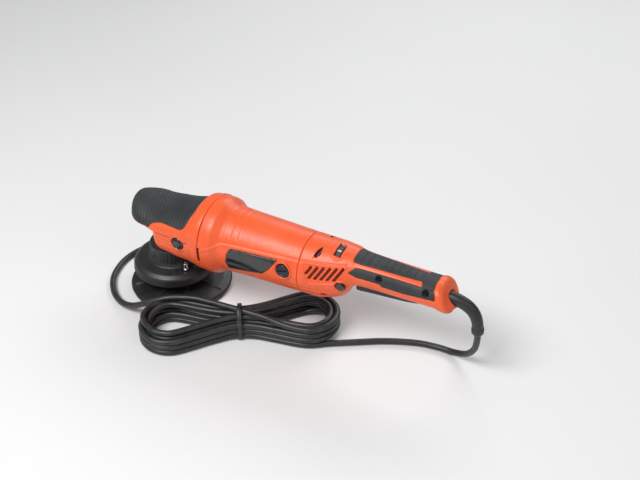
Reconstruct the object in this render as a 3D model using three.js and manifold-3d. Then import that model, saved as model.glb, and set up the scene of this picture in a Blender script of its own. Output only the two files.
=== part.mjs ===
// A corded dual action polisher: bevel-geared motor, eccentric free-turning backing plate,
// two-shell rear handle with a paddle switch, and its mains cord tied in a hank.
// Millimetres, +Z up. The origin is on the spindle axis, at the face of the backing plate.
// +X runs from the head to the tail, so the user's left is the -Y side.
import * as THREE from "three";
import { mergeVertices } from "three/addons/utils/BufferGeometryUtils.js";
import Module from "manifold-3d";

// ---------------------------------------------------------------- driving dimensions
const AXIS_Z = 90; // motor axis above the plate's face
const GAP = 0.3; // clearance between touching pieces
const WALL = 2.8; // plastic shell thickness

const SEAM_FRONT = 65; // head shell to motor housing
const SEAM_REAR = 183; // motor housing to handle shells
const TAIL_X = 341; // end of the handle
const HEAD_HALF = 38; // half width of the head
const NOSE = { x: -46, centre: -13, half: 33, power: 2, points: 15 }; // round palm knob in front
const RUBBER = 2.4; // thickness of the moulded rubber skins

const PLATE_R = 60; // 120 mm backing plate, for 150 mm pads
const ORBIT = 7.5; // eccentricity: a 15 mm orbit
const SHROUD_R = 48;

const CROWN_TEETH = 24;
const PINION_TEETH = 7;
const CROWN_PITCH_R = 19; // at the outer end of the teeth
const TOOTH_INNER = 0.66; // inner end of the teeth, as a share of the cone distance

const BRUSH_X = 167;
const BRUSH_Z = AXIS_Z + 5;
const SIDE_CAP = { x: 35.5, z: AXIS_Z - 1, r: 6.8 };

const LOCK_BUTTON = { x: 231, z: AXIS_Z + 2, r: 5 };
const DIAL = { x: 221, y: -4, z: AXIS_Z + 22.4, r: 11, width: 6 };
const HANDLE_SCREWS = [
  [270.5, 109.5],
  [322, 109.5],
  [212, 74],
];

const CORD_D = 7;
const CORD_Z = CORD_D / 2 + 0.1; // centreline of a cord that lies on the floor
const EXIT_Z = 101;
const HANK = { x: 118, y: -47.5, turn: 32, lobe: 77, lobeR: 34, waist: 14, height: 28.5 };

// ---------------------------------------------------------------- materials
const finish = (color, roughness, metalness = 0) =>
  new THREE.MeshStandardMaterial({ color, roughness, metalness });
const ORANGE = finish(0xe85a32, 0.45);
const RUBBER_BLACK = finish(0x35373a, 0.8);
const PLASTIC_BLACK = finish(0x232427, 0.5);
const GLOSS_BLACK = finish(0x0d0d0f, 0.15);
const ALUMINIUM = finish(0xb4b7ba, 0.4, 1);
const STEEL = finish(0x9a9da1, 0.3, 1);
const DARK_STEEL = finish(0x4a4c50, 0.5, 1);
const COPPER = finish(0xb3653a, 0.35, 1);
const BRASS = finish(0xc2a04e, 0.35, 1);
const CARBON = finish(0x1c1c1e, 0.8);
const BOARD_GREEN = finish(0x2f6b3c, 0.6);
const CORD_BLACK = finish(0x3a3b3d, 0.65);

// ---------------------------------------------------------------- solids
const wasm = await Module();
wasm.setup();

// A closed three.js geometry as a solid for cutting and joining.
function solidOf(geometry) {
  const bare = new THREE.BufferGeometry();
  bare.setAttribute("position", geometry.getAttribute("position").clone());
  if (geometry.index) bare.setIndex(geometry.index);
  const merged = mergeVertices(bare, 1e-4);
  const triVerts = new Uint32Array(merged.index.array);
  const vertProperties = merged.attributes.position.array;
  const solid = new wasm.Manifold(new wasm.Mesh({ numProp: 3, vertProperties, triVerts }));
  if (solid.volume() > 0) return solid;
  const turned = new Uint32Array(triVerts).reverse();
  return new wasm.Manifold(new wasm.Mesh({ numProp: 3, vertProperties, triVerts: turned }));
}

function geometryOf(solid) {
  const mesh = solid.getMesh();
  const geometry = new THREE.BufferGeometry();
  geometry.setAttribute("position", new THREE.BufferAttribute(mesh.vertProperties.slice(), 3));
  geometry.setIndex(new THREE.BufferAttribute(mesh.triVerts.slice(), 1));
  const flat = geometry.toNonIndexed();
  flat.computeVertexNormals();
  return flat;
}

const cut = (solid, ...tools) => tools.reduce((left, tool) => left.subtract(tool), solid);
const join = (first, ...rest) => rest.reduce((sum, next) => sum.add(next), first);
const placed = (geometry, x, y, z) => solidOf(geometry.clone().translate(x, y, z));

function box(x0, x1, y0, y1, z0, z1) {
  const geometry = new THREE.BoxGeometry(x1 - x0, y1 - y0, z1 - z0);
  return placed(geometry, (x0 + x1) / 2, (y0 + y1) / 2, (z0 + z1) / 2);
}

// Turned pieces: the profile lists [distance along the axis, radius] round a closed outline.
function turned(profile, segments) {
  const closed = [...profile, profile[0]];
  const points = closed.map(([along, radius]) => new THREE.Vector2(Math.max(radius, 0), along));
  return new THREE.LatheGeometry(points, segments);
}
const turnedX = (profile, y = 0, z = AXIS_Z, segments = 24) =>
  placed(turned(profile, segments).rotateZ(-Math.PI / 2), 0, y, z);
const turnedZ = (profile, x = 0, y = 0, segments = 24) =>
  placed(turned(profile, segments).rotateX(Math.PI / 2), x, y, 0);
const turnedY = (profile, x, z, segments = 20) => placed(turned(profile, segments), x, 0, z);

const rod = (from, to, radius) => [
  [from, 0],
  [to, 0],
  [to, radius],
  [from, radius],
];
const tube = (from, to, inner, outer) => [
  [from, inner],
  [to, inner],
  [to, outer],
  [from, outer],
];

// Prisms of a flat outline.
const outline = (points) => new THREE.Shape(points.map(([a, b]) => new THREE.Vector2(a, b)));
const extruded = (shape, depth, curveSegments = 10) =>
  new THREE.ExtrudeGeometry(shape, { depth, bevelEnabled: false, curveSegments });
const prismZ = (shape, z0, z1, segments) => placed(extruded(shape, z1 - z0, segments), 0, 0, z0);
const prismY = (shape, y0, y1, segments) =>
  placed(extruded(shape, y1 - y0, segments).rotateX(Math.PI / 2), 0, y1, 0);

// A closed loft through rings of points, each ring with the same number of points.
function loft(rings) {
  const count = rings[0].length;
  const positions = rings.flat().flatMap((point) => point.toArray());
  const middle = (ring) =>
    ring.reduce((sum, point) => sum.add(point), new THREE.Vector3()).divideScalar(count);
  const first = positions.length / 3;
  positions.push(...middle(rings[0]).toArray(), ...middle(rings[rings.length - 1]).toArray());
  const index = [];
  for (let ring = 0; ring + 1 < rings.length; ring++)
    for (let i = 0; i < count; i++) {
      const j = (i + 1) % count;
      const [a, b] = [ring * count + i, ring * count + j];
      index.push(a, b, b + count, a, b + count, a + count);
    }
  const last = (rings.length - 1) * count;
  for (let i = 0; i < count; i++) {
    const j = (i + 1) % count;
    index.push(first, j, i);
    index.push(first + 1, last + i, last + j);
  }
  const geometry = new THREE.BufferGeometry();
  geometry.setAttribute("position", new THREE.Float32BufferAttribute(positions, 3));
  geometry.setIndex(index);
  return solidOf(geometry);
}

const roundPower = (value, power) => Math.sign(value) * Math.abs(value) ** (2 / power);

// One cross-section of the body at a station: half width, heights over and under its middle.
function section({ x, mid, half, up, down, power = 2.2 }, inset = 0, count = 20) {
  const ring = [];
  for (let i = 0; i < count; i++) {
    const angle = (2 * Math.PI * i) / count;
    const height = Math.sin(angle) > 0 ? up : down;
    const y = (half - inset) * roundPower(Math.cos(angle), power);
    const z = mid + (height - inset) * roundPower(Math.sin(angle), power);
    ring.push(new THREE.Vector3(x, y, z));
  }
  return ring;
}
const body = (stations, inset = 0) => loft(stations.map((station) => section(station, inset)));

// ---------------------------------------------------------------- the parts and their bodies
const polisher = new THREE.Group();
polisher.name = "polisher";

function piece(name, solid, material) {
  const mesh = new THREE.Mesh(geometryOf(solid), material);
  mesh.name = name;
  polisher.add(mesh);
}

const SIDES = [
  { name: "left", sign: -1 },
  { name: "right", sign: 1 },
];
// A stretch of the Y axis from one distance to another, on either side of the middle.
const across = (sign, from, to) => (sign > 0 ? [from, to] : [-to, -from]);

// ---------------------------------------------------------------- head
// Height of the head's crest over the motor axis, and the half width there.
const CREST = [
  [NOSE.x, 16, NOSE.half],
  [-43.5, 21, NOSE.half],
  [-39, 24.3, NOSE.half],
  [-28, 24.8, NOSE.half],
  [-14, 23, NOSE.half],
  [0, 21.3, 36.5],
  [15, 23.2, HEAD_HALF],
  [30, 27.5, HEAD_HALF + 0.5],
  [42, 32, HEAD_HALF + 1.5],
  [50, 37, 41],
  [61.5, 43.4, 43.4],
  [SEAM_FRONT - GAP, 43.7, 43.7],
];
const HEAD_SKIRT = 0.5; // lower edge of the wide top, over the motor axis
const HEAD_WIDEST = 4.5; // height of the widest line over that edge

function headTop(inset) {
  const stations = CREST.map(([x, up, half]) => ({
    x,
    mid: AXIS_Z + HEAD_SKIRT + HEAD_WIDEST,
    half,
    up: up - HEAD_SKIRT - HEAD_WIDEST,
    down: HEAD_WIDEST,
    power: 2.2,
  }));
  const noseR = NOSE.centre - NOSE.x - inset;
  const nose = Array.from({ length: NOSE.points }, (_, index) => {
    const angle = Math.PI * (0.5 + index / (NOSE.points - 1));
    const x = NOSE.centre + noseR * roundPower(Math.cos(angle), NOSE.power);
    return [x, noseR * roundPower(Math.sin(angle), NOSE.power)];
  });
  const rear = [
    [SEAM_FRONT, -HEAD_HALF - 10],
    [SEAM_FRONT, HEAD_HALF + 10],
  ];
  const plan = outline([...nose, ...rear]);
  return body(stations, inset).intersect(prismZ(plan, AXIS_Z - 20, AXIS_Z + 60));
}

// Lower block of the head: half width, depth under the motor axis, squareness of the section.
const LOWER_HEAD = [
  [-20.5, 8, 12, 3],
  [-12, 20, 17, 3.5],
  [-3, 31, 22, 4],
  [4, 36, 26, 4.5],
  [25, 37.5, 29, 4.5],
  [42, 39, 33.5, 3],
  [50, 41, 38, 2.4],
  [61.5, 43.4, 43.4, 2],
  [SEAM_FRONT - GAP, 43.7, 43.7, 2],
];

function headLower(inset) {
  const stations = LOWER_HEAD.map(([x, half, down, power]) => ({
    x: x + (x < 0 ? inset : 0),
    mid: AXIS_Z,
    half,
    up: 6 + inset,
    down,
    power,
  }));
  return body(stations, inset);
}

const backFlange = (inset) =>
  turnedX([
    [46, 0],
    [SEAM_FRONT - GAP, 0],
    [SEAM_FRONT - GAP, 43.8 - inset],
    [58, 43.2 - inset],
    [50, 38 - inset],
    [46, 34 - inset],
  ]);
const headForm = (inset) => join(headTop(inset), headLower(inset), backFlange(inset));

// The rubber covers the nose and the crest down to this side outline.
const rubberOutline = (lift) =>
  outline([
    [-60, AXIS_Z + 4.5 + lift],
    [-6, AXIS_Z + 4.5 + lift],
    [1, AXIS_Z + 14 + lift],
    [10, AXIS_Z + 16 + lift],
    [44 - lift, AXIS_Z + 15 + lift],
    [50 - lift, AXIS_Z + 30 + lift],
    [50.5 - lift, AXIS_Z + 70],
    [-60, AXIS_Z + 70],
  ]);

// Gearbox: a neck round the spindle, a chamber for the bevel pair, a boss for the top bearing
// and a barrel that widens towards the motor.
const CHAMBER_R = 20.5;
const CHAMBER_WALL = 2.5;
const LID_Z = AXIS_Z + 10; // joint between the gear chamber and its lid
const LID_TOP = AXIS_Z + 13;
const BOSS = { r: 10.5, top: AXIS_Z + 17.3 };
const GEARBOX_BARREL = [
  [4, 0],
  [SEAM_FRONT + 2.5, 0],
  [SEAM_FRONT + 2.5, 36.5],
  [60, 34.8],
  [50, 31],
  [40, 25],
  [26, 20],
  [10, 16],
  [4, 14],
];
const gearboxForm = (grow) =>
  join(
    turnedZ(rod(AXIS_Z - 36 - grow, AXIS_Z + 5, 16.5 + grow)),
    turnedZ([
      [AXIS_Z + 0.9 - grow, 0],
      [LID_TOP + grow, 0],
      [LID_TOP + grow, CHAMBER_R + CHAMBER_WALL + grow],
      [AXIS_Z + 2.4 - grow, CHAMBER_R + CHAMBER_WALL + grow],
      [AXIS_Z + 0.9 - grow, 14],
    ]),
    turnedZ(rod(LID_TOP - 1, BOSS.top + grow, BOSS.r + grow)),
    turnedX(GEARBOX_BARREL.map(([x, r]) => [x, r > 0 ? r + grow : 0])),
  );

const sideCapHoles = SIDES.map(({ sign }) =>
  turnedY(rod(...across(sign, 36, 60), SIDE_CAP.r + GAP), SIDE_CAP.x, SIDE_CAP.z),
);
piece(
  "head_shell",
  cut(
    headForm(0),
    gearboxForm(GAP + 0.1),
    cut(headForm(-3), headForm(RUBBER + GAP)).intersect(prismY(rubberOutline(-GAP), -60, 60)),
    ...sideCapHoles,
  ),
  ORANGE,
);
piece(
  "head_grip",
  cut(headForm(0), headForm(RUBBER)).intersect(prismY(rubberOutline(0), -60, 60)),
  RUBBER_BLACK,
);
for (const { name, sign } of SIDES)
  piece(
    `side_handle_cap_${name}`,
    turnedY(rod(...across(sign, 37, 41), SIDE_CAP.r), SIDE_CAP.x, SIDE_CAP.z, 24),
    PLASTIC_BLACK,
  );

// ---------------------------------------------------------------- gearbox
const MOTOR_BEARING = { x: 39, width: 8, inner: 6, outer: 14 };
const SPINDLE_BEARING = { z: 54.5, width: 8, inner: 5, outer: 13 };
const TOP_BEARING = { z: AXIS_Z + 11.3, width: 5, inner: 4, outer: 8 };

const chamber = turnedZ([
  [AXIS_Z + 2.4, 0],
  [AXIS_Z + 60, 0],
  [AXIS_Z + 60, CHAMBER_R],
  [AXIS_Z + 4, CHAMBER_R],
  [AXIS_Z + 2.4, 13],
]);
const lidOpening = turnedZ(rod(LID_Z, LID_Z + 40, CHAMBER_R + CHAMBER_WALL + 1));
const pinionTunnel = turnedX(rod(0, 66, MOTOR_BEARING.outer - 0.7));
const bearingSeat = turnedX(rod(MOTOR_BEARING.x - GAP, 66, MOTOR_BEARING.outer + GAP));
const rearBowl = turnedX([
  [47.1, 0],
  [66, 0],
  [66, 33.5],
  [57, 33.5],
  [47.1, 22],
]);
const spindleBore = turnedZ(rod(40, AXIS_Z + 5, 9));
const spindleSeat = turnedZ(rod(40, SPINDLE_BEARING.z + 8.3, SPINDLE_BEARING.outer + GAP));
piece(
  "gearbox_housing",
  cut(
    gearboxForm(0),
    box(59.5, 70, -60, 60, 0, 200),
    chamber,
    lidOpening,
    pinionTunnel,
    bearingSeat,
    rearBowl,
    spindleBore,
    spindleSeat,
  ),
  ALUMINIUM,
);
piece(
  "gearbox_lid",
  cut(
    join(
      turnedZ(rod(LID_Z + GAP, LID_TOP, CHAMBER_R + CHAMBER_WALL)),
      turnedZ(rod(LID_TOP - 1, BOSS.top, BOSS.r)),
    ),
    turnedZ(rod(AXIS_Z, TOP_BEARING.z + TOP_BEARING.width + GAP, TOP_BEARING.outer + GAP), 0, 0, 28),
  ),
  ALUMINIUM,
);

const bearing = ({ width, inner, outer }, start) => [
  [start, inner + GAP],
  [start + width, inner + GAP],
  [start + width, outer],
  [start, outer],
];
const ringZ = (spec, x = 0) => turnedZ(bearing(spec, spec.z), x, 0, 16);
const ringX = (spec) => turnedX(bearing(spec, spec.x), 0, AXIS_Z, 16);
piece("spindle_top_bearing", ringZ(TOP_BEARING), STEEL);
piece("spindle_main_bearing", ringZ(SPINDLE_BEARING), STEEL);
piece("motor_front_bearing", ringX(MOTOR_BEARING), STEEL);
piece(
  "bearing_retainer",
  turnedX(tube(MOTOR_BEARING.x + 8.3, MOTOR_BEARING.x + 9.4, 8, 21)),
  DARK_STEEL,
);

// Bevel pair: both gears are cones about the apex where the two axes cross, so every ring of
// teeth is the outer ring drawn in towards that apex.
const APEX = new THREE.Vector3(0, 0, AXIS_Z);
const PINION_PITCH_R = (CROWN_PITCH_R * PINION_TEETH) / CROWN_TEETH;
const TOOTH_DEPTH = 1.1; // over and under the pitch line
// Share of one tooth pitch, and the height there: root, tip, tip, root.
const TOOTH = [
  [0.16, -1],
  [0.36, 0.62],
  [0.64, 0.62],
  [0.84, -1],
];
const towardsApex = (ring, share) =>
  ring.map((point) => point.clone().sub(APEX).multiplyScalar(share).add(APEX));

function toothRing(teeth, phase, pointAt) {
  const ring = [];
  for (let tooth = 0; tooth < teeth; tooth++)
    for (const [share, height] of TOOTH) {
      const angle = (2 * Math.PI * (tooth + share - 0.5 + phase)) / teeth;
      ring.push(pointAt(angle, height * TOOTH_DEPTH));
    }
  return ring;
}

const crownOuter = toothRing(CROWN_TEETH, 0.5, (angle, height) => {
  const z = AXIS_Z + PINION_PITCH_R - height;
  return new THREE.Vector3(CROWN_PITCH_R * Math.cos(angle), CROWN_PITCH_R * Math.sin(angle), z);
});
const crownFlat = (radius, z) =>
  toothRing(CROWN_TEETH, 0.5, (angle) =>
    new THREE.Vector3(radius * Math.cos(angle), radius * Math.sin(angle), z),
  );
const CROWN_BACK = AXIS_Z + 9.4;
const crownTeeth = loft([
  crownFlat(CROWN_PITCH_R, CROWN_BACK),
  crownOuter,
  towardsApex(crownOuter, TOOTH_INNER),
  crownFlat(CROWN_PITCH_R * TOOTH_INNER - 1, AXIS_Z + 6),
]);
piece(
  "crown_gear",
  cut(
    join(crownTeeth, turnedZ(rod(AXIS_Z + 5.8, CROWN_BACK, 10.5))),
    turnedZ(rod(60, 140, 6 + GAP), 0, 0, 28),
  ),
  DARK_STEEL,
);

const pinionOuter = toothRing(PINION_TEETH, 0, (angle, height) => {
  const radius = PINION_PITCH_R + height;
  return new THREE.Vector3(
    CROWN_PITCH_R,
    -radius * Math.sin(angle),
    AXIS_Z + radius * Math.cos(angle),
  );
});
piece(
  "drive_pinion",
  cut(
    loft([towardsApex(pinionOuter, TOOTH_INNER), pinionOuter]),
    turnedX(rod(0, 60, 2.5 + GAP), 0, AXIS_Z, 16),
  ),
  STEEL,
);

// ---------------------------------------------------------------- spindle and eccentric
piece(
  "spindle",
  turnedZ(
    [
      [33, 0],
      [AXIS_Z + 16, 0],
      [AXIS_Z + 16, 4],
      [AXIS_Z + 10.8, 4],
      [AXIS_Z + 10.8, 6],
      [63, 6],
      [63, 5],
      [33, 5],
    ],
    0,
    0,
    24,
  ),
  STEEL,
);

const ECCENTRIC_BEARING = { z: 22.6, width: 8, inner: 6, outer: 14 };
const weightPlan = new THREE.Shape();
weightPlan.absarc(0, 0, 40, THREE.MathUtils.degToRad(118), THREE.MathUtils.degToRad(242), false);
weightPlan.absarc(ORBIT, 0, 17.5, -Math.PI / 2, Math.PI / 2, false);
piece(
  "counterweight",
  cut(
    join(
      prismZ(weightPlan, 22.5, 33.5, 7),
      turnedZ(rod(33, 42, 10), 0, 0, 28),
    ),
    turnedZ(rod(32.6, 60, 5 + GAP), 0, 0, 24),
    turnedZ(rod(10, 30.9, ECCENTRIC_BEARING.outer + GAP), ORBIT, 0, 28),
  ),
  DARK_STEEL,
);
piece("eccentric_bearing", ringZ(ECCENTRIC_BEARING, ORBIT), STEEL);

// ---------------------------------------------------------------- plate
piece(
  "plate_shaft",
  turnedZ(
    [
      [15, 3.3],
      [26, 3.3],
      [26, 0],
      [30.4, 0],
      [30.4, 6],
      [20, 6],
      [20, 11],
      [15, 11],
    ],
    ORBIT,
    0,
    24,
  ),
  STEEL,
);
piece(
  "backing_plate",
  turnedZ(
    [
      [2, 5.6],
      [6, 5.6],
      [6, 3.4],
      [14.7, 3.4],
      [14.7, 19],
      [10.5, 27],
      [9, 50],
      [7.5, 59],
      [5, PLATE_R],
      [2, PLATE_R - 1],
    ],
    ORBIT,
    0,
    32,
  ),
  PLASTIC_BLACK,
);
piece("hook_pad", turnedZ(tube(0, 1.7, 5.6, PLATE_R - 1.5), ORBIT, 0, 32), RUBBER_BLACK);
piece(
  "plate_screw",
  turnedZ(
    [
      [1.5, 0],
      [25, 0],
      [25, 3],
      [5.7, 3],
      [5.7, 5.2],
      [1.5, 5.2],
    ],
    ORBIT,
    0,
    16,
  ),
  STEEL,
);
piece(
  "plate_shroud",
  turnedZ(
    [
      [59, 17],
      [56.6, 17],
      [56.6, 24.6],
      [42, 26.2],
      [36.8, 29.5],
      [35.4, 41],
      [31.5, 45.6],
      [24, 46],
      [24, SHROUD_R],
      [32, SHROUD_R],
      [34.5, 47],
      [38, 42.5],
      [39.5, 31],
      [44, 28.5],
      [59, 27],
    ],
    0,
    0,
    28,
  ),
  PLASTIC_BLACK,
);

const GUARD_BOLT = { x: 29.8, y: -20, r: 2.6, foot: 39.8, top: 47.8 };
piece(
  "guard_bolt",
  turnedZ(
    [
      [GUARD_BOLT.foot, 0],
      [GUARD_BOLT.top, 0],
      [GUARD_BOLT.top, GUARD_BOLT.r - 0.8],
      [GUARD_BOLT.top - 0.8, GUARD_BOLT.r],
      [GUARD_BOLT.foot + 1.2, GUARD_BOLT.r],
      [GUARD_BOLT.foot + 1.2, GUARD_BOLT.r + 1],
      [GUARD_BOLT.foot, GUARD_BOLT.r + 1],
    ],
    GUARD_BOLT.x,
    GUARD_BOLT.y,
    16,
  ),
  STEEL,
);

// ---------------------------------------------------------------- motor housing
const capBores = SIDES.map(({ sign }) =>
  turnedY(rod(...across(sign, 20, 60), 8 + GAP), BRUSH_X, BRUSH_Z, 24),
);
const seamVents = SIDES.map(({ sign }) =>
  box(SEAM_FRONT - 1, SEAM_FRONT + 1.8, ...across(sign, 38, 60), AXIS_Z - 14, AXIS_Z + 6),
);
piece(
  "motor_housing",
  cut(
    turnedX([
      [SEAM_FRONT, 40.5],
      [74, 40.5],
      [83, 34.2],
      [93, 33],
      [176, 31.2],
      [176, 9.8],
      [SEAM_REAR, 9.8],
      [SEAM_REAR, 33.8],
      [150, 35],
      [100, 36.6],
      [88, 37.4],
      [78, 43.4],
      [73, 44.2],
      [SEAM_FRONT, 43.8],
    ], 0, AXIS_Z, 28),
    ...capBores,
    ...seamVents,
  ),
  ORANGE,
);

// Badge: a thin curved plate on the left flank.
const badgeOutline = outline([
  [102, AXIS_Z + 12],
  [159.5, AXIS_Z + 15],
  [150, AXIS_Z + 1],
  [141, AXIS_Z - 8.5],
  [98, AXIS_Z - 16.5],
  [96, AXIS_Z - 6],
  [98, AXIS_Z + 5],
]);
piece(
  "badge",
  turnedX([
    [90, 37.7],
    [100, 36.9],
    [150, 35.3],
    [165, 34.8],
    [165, 35.9],
    [150, 36.4],
    [100, 38],
    [90, 38.8],
  ], 0, AXIS_Z, 48).intersect(prismY(badgeOutline, -60, -10)),
  GLOSS_BLACK,
);

// ---------------------------------------------------------------- motor
piece("stator_core", turnedX(tube(94, 142, 21.6, 30.6)), DARK_STEEL);
piece("stator_coil_front", turnedX(tube(85.5, 93.7, 22.5, 29)), COPPER);
piece("stator_coil_rear", turnedX(tube(142.3, 150, 22.5, 29)), COPPER);

piece(
  "armature_shaft",
  turnedX(
    [
      [13, 0],
      [182, 0],
      [182, 3],
      [176.2, 3],
      [176.2, 5],
      [47.5, 5],
      [47.5, 6],
      [24, 6],
      [24, 2.5],
      [13, 2.5],
    ],
    0,
    AXIS_Z,
    20,
  ),
  STEEL,
);

const ARMATURE_SLOTS = 12;
const armaturePoints = [];
for (let slot = 0; slot < ARMATURE_SLOTS; slot++)
  for (const [share, radius] of [
    [0.08, 15.5],
    [0.08, 20.6],
    [0.5, 21],
    [0.92, 20.6],
    [0.92, 15.5],
  ]) {
    const angle = (2 * Math.PI * (slot + share)) / ARMATURE_SLOTS;
    armaturePoints.push([radius * Math.cos(angle), radius * Math.sin(angle)]);
  }
const acrossX = (shape, x0, x1) =>
  placed(extruded(shape, x1 - x0).rotateY(Math.PI / 2), x0, 0, AXIS_Z);
piece(
  "armature_core",
  cut(acrossX(outline(armaturePoints), 95, 141), turnedX(rod(90, 150, 5 + GAP), 0, AXIS_Z, 20)),
  DARK_STEEL,
);
piece("armature_winding_front", turnedX(tube(84, 94.7, 5 + GAP, 18), 0, AXIS_Z, 20), COPPER);
piece("armature_winding_rear", turnedX(tube(141.3, 154, 5 + GAP, 17), 0, AXIS_Z, 20), COPPER);
piece("commutator", turnedX(tube(157, 174, 5 + GAP, 12), 0, AXIS_Z, 24), COPPER);

const FAN_BLADES = 9;
const fanBlade = box(66, 76, -0.9, 0.9, AXIS_Z + 14, AXIS_Z + 36);
const fanBlades = Array.from({ length: FAN_BLADES }, (_, blade) =>
  fanBlade
    .translate([0, 0, -AXIS_Z])
    .rotate([(360 * blade) / FAN_BLADES, 0, 0])
    .translate([0, 0, AXIS_Z]),
);
piece(
  "cooling_fan",
  cut(
    join(
      turnedX(rod(64, 79, 15), 0, AXIS_Z, 22),
      turnedX(rod(75.5, 78, 36.5), 0, AXIS_Z, 28),
      ...fanBlades,
    ),
    turnedX(rod(60, 90, 5 + GAP), 0, AXIS_Z, 20),
  ),
  PLASTIC_BLACK,
);
const REAR_BEARING = { x: 176.6, width: 6, inner: 3, outer: 9.5 };
piece("motor_rear_bearing", ringX(REAR_BEARING), STEEL);

for (const { name, sign } of SIDES) {
  piece(
    `brush_holder_${name}`,
    cut(
      turnedY(rod(...across(sign, 14, 28.5), 7), BRUSH_X, BRUSH_Z),
      box(BRUSH_X - 4.3, BRUSH_X + 4.3, ...across(sign, 10, 40), BRUSH_Z - 3.3, BRUSH_Z + 3.3),
    ),
    BRASS,
  );
  piece(
    `carbon_brush_${name}`,
    box(BRUSH_X - 4, BRUSH_X + 4, ...across(sign, 12.4, 27), BRUSH_Z - 3, BRUSH_Z + 3),
    CARBON,
  );
  piece(
    `brush_cap_${name}`,
    cut(
      turnedY(rod(...across(sign, 28.8, 35.4), 8), BRUSH_X, BRUSH_Z, 24),
      box(BRUSH_X - 6, BRUSH_X + 6, ...across(sign, 34.2, 40), BRUSH_Z - 0.8, BRUSH_Z + 0.8),
    ),
    PLASTIC_BLACK,
  );
}

// ---------------------------------------------------------------- handle shells
const HANDLE = [
  { x: SEAM_REAR + GAP, mid: 90, half: 34, up: 34, down: 34, power: 2 },
  { x: 200, mid: 90, half: 33, up: 33.7, down: 33.5, power: 2.05 },
  { x: 215, mid: 91, half: 31, up: 33, down: 30, power: 2.1 },
  { x: 230, mid: 94, half: 27, up: 28.8, down: 25.5, power: 2.2 },
  { x: 237, mid: 97, half: 23.5, up: 25, down: 17, power: 2.3 },
  { x: 243, mid: 101, half: 21, up: 19.2, down: 14.5, power: 2.4 },
  { x: 252, mid: 101.5, half: 20, up: 18, down: 14, power: 2.4 },
  { x: 290, mid: 102, half: 19.2, up: 16, down: 14, power: 2.4 },
  { x: 328, mid: 102.5, half: 19.6, up: 14.4, down: 13.5, power: 2.4 },
  { x: 334, mid: 102.5, half: 20.6, up: 15.8, down: 15.5, power: 2.4 },
  { x: TAIL_X, mid: 102.5, half: 21, up: 16, down: 16, power: 2.4 },
  { x: TAIL_X + 10, mid: 102.5, half: 21, up: 16, down: 15.6, power: 2.4 },
];
const handleForm = (inset) => body(HANDLE, inset);
// The tail is cut off at a slant, so its foot reaches further back than its top.
const TAIL_SLANT = 0.35;
const tailAt = (z) => TAIL_X + 3.5 - TAIL_SLANT * (z - 102.5);
const behindTail = prismY(
  outline([
    [tailAt(60), 60],
    [TAIL_X + 60, 60],
    [TAIL_X + 60, 150],
    [tailAt(150), 150],
  ]),
  -60,
  60,
);
const hollowHandle = body(
  HANDLE.filter((_, index) => index % 2 === 0).map((station) => ({
    ...station,
    x: station.x === TAIL_X ? TAIL_X - 6 : station.x - (station.x < 190 ? 5 : 0),
  })),
  WALL + RUBBER / 2,
);

// Side outlines of the rubber inlays on the handle.
const topGrip = (grow) =>
  outline([
    [239 - grow, 118 - grow],
    [248, 117 - grow],
    [316 - grow, 116.2 - grow],
    [316 - grow, 113.5 - grow],
    [331.6 + grow, 113.5 - grow],
    [325 + grow, 140],
    [239 - grow, 140],
  ]);
const sideGrip = (grow) =>
  outline([
    [237 - grow, 108.5],
    [244, 114.2 + grow],
    [315.6 - 2 * GAP, 113.6 + grow],
    [315.6 - 2 * GAP, 113.2],
    [331.6 + grow, 113.2],
    [333.4 + grow, 105 - grow],
    [298, 101.8 - grow],
    [274, 101.8 - grow],
    [273, 104.3 - grow],
    [246, 104.3 - grow],
  ]);
const gripSkin = (outlineShape, outer, inset) =>
  cut(handleForm(outer), handleForm(inset)).intersect(prismY(outlineShape, -60, 60));

const TRIGGER_HALF = 11.5;
const triggerSlot = box(238.5, 320, -TRIGGER_HALF - 0.7, TRIGGER_HALF + 0.7, 60, 98.5);
const VENT_COUNT = 6;
const VENT = { x: 195.5, z: AXIS_Z + 4, width: 2.6, pitch: 6.9, climb: 0.85, lean: 7.7, rise: 13.4 };
const slantedVents = SIDES.flatMap(({ sign }) =>
  Array.from({ length: VENT_COUNT }, (_, vent) => {
    const clipped = vent === 0 ? 0.45 : 0; // the first slot starts higher, at the panel's edge
    const x = VENT.x + VENT.pitch * (vent - 1) + clipped * VENT.lean;
    const low = VENT.z + VENT.climb * (vent - 1) + clipped * VENT.rise;
    const high = VENT.z + VENT.climb * (vent - 1) + VENT.rise;
    const lean = VENT.lean * (1 - clipped);
    const slot = outline([
      [x, low],
      [x + VENT.width, low],
      [x + VENT.width + lean, high],
      [x + lean, high],
    ]);
    return prismY(slot, ...across(sign, 16, 50));
  }),
);
const intake = outline([
  [198, AXIS_Z + 27.4],
  [200.4, AXIS_Z + 26.2],
  [203.6, AXIS_Z + 28.6],
  [202.3, AXIS_Z + 32],
]);
const screwWells = HANDLE_SCREWS.map(([x, z]) => turnedY(rod(-60, -14, 3.4), x, z, 16));
const shellCuts = [
  hollowHandle,
  triggerSlot,
  behindTail,
  turnedX(rod(TAIL_X - 10, TAIL_X + 5, 7.3 + GAP), 0, EXIT_Z, 24),
  turnedX(rod(TAIL_X + 1, TAIL_X + 20, 8.9), 0, EXIT_Z, 24), // room for the boot's droop
  turnedY(rod(-60, 0, LOCK_BUTTON.r + GAP), LOCK_BUTTON.x, LOCK_BUTTON.z, 24),
  box(DIAL.x - 3.6, DIAL.x + 3.6, DIAL.y - 12, DIAL.y + 10, 112, 140),
  prismY(intake, -60, 60),
  ...slantedVents,
];
const gripRecess = cut(handleForm(-4), handleForm(RUBBER + GAP));
const shellBody = cut(
  handleForm(0),
  ...shellCuts,
  gripRecess.intersect(prismY(topGrip(GAP), -60, 60)),
  gripRecess.intersect(prismY(sideGrip(GAP), -60, 60)),
);
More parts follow.
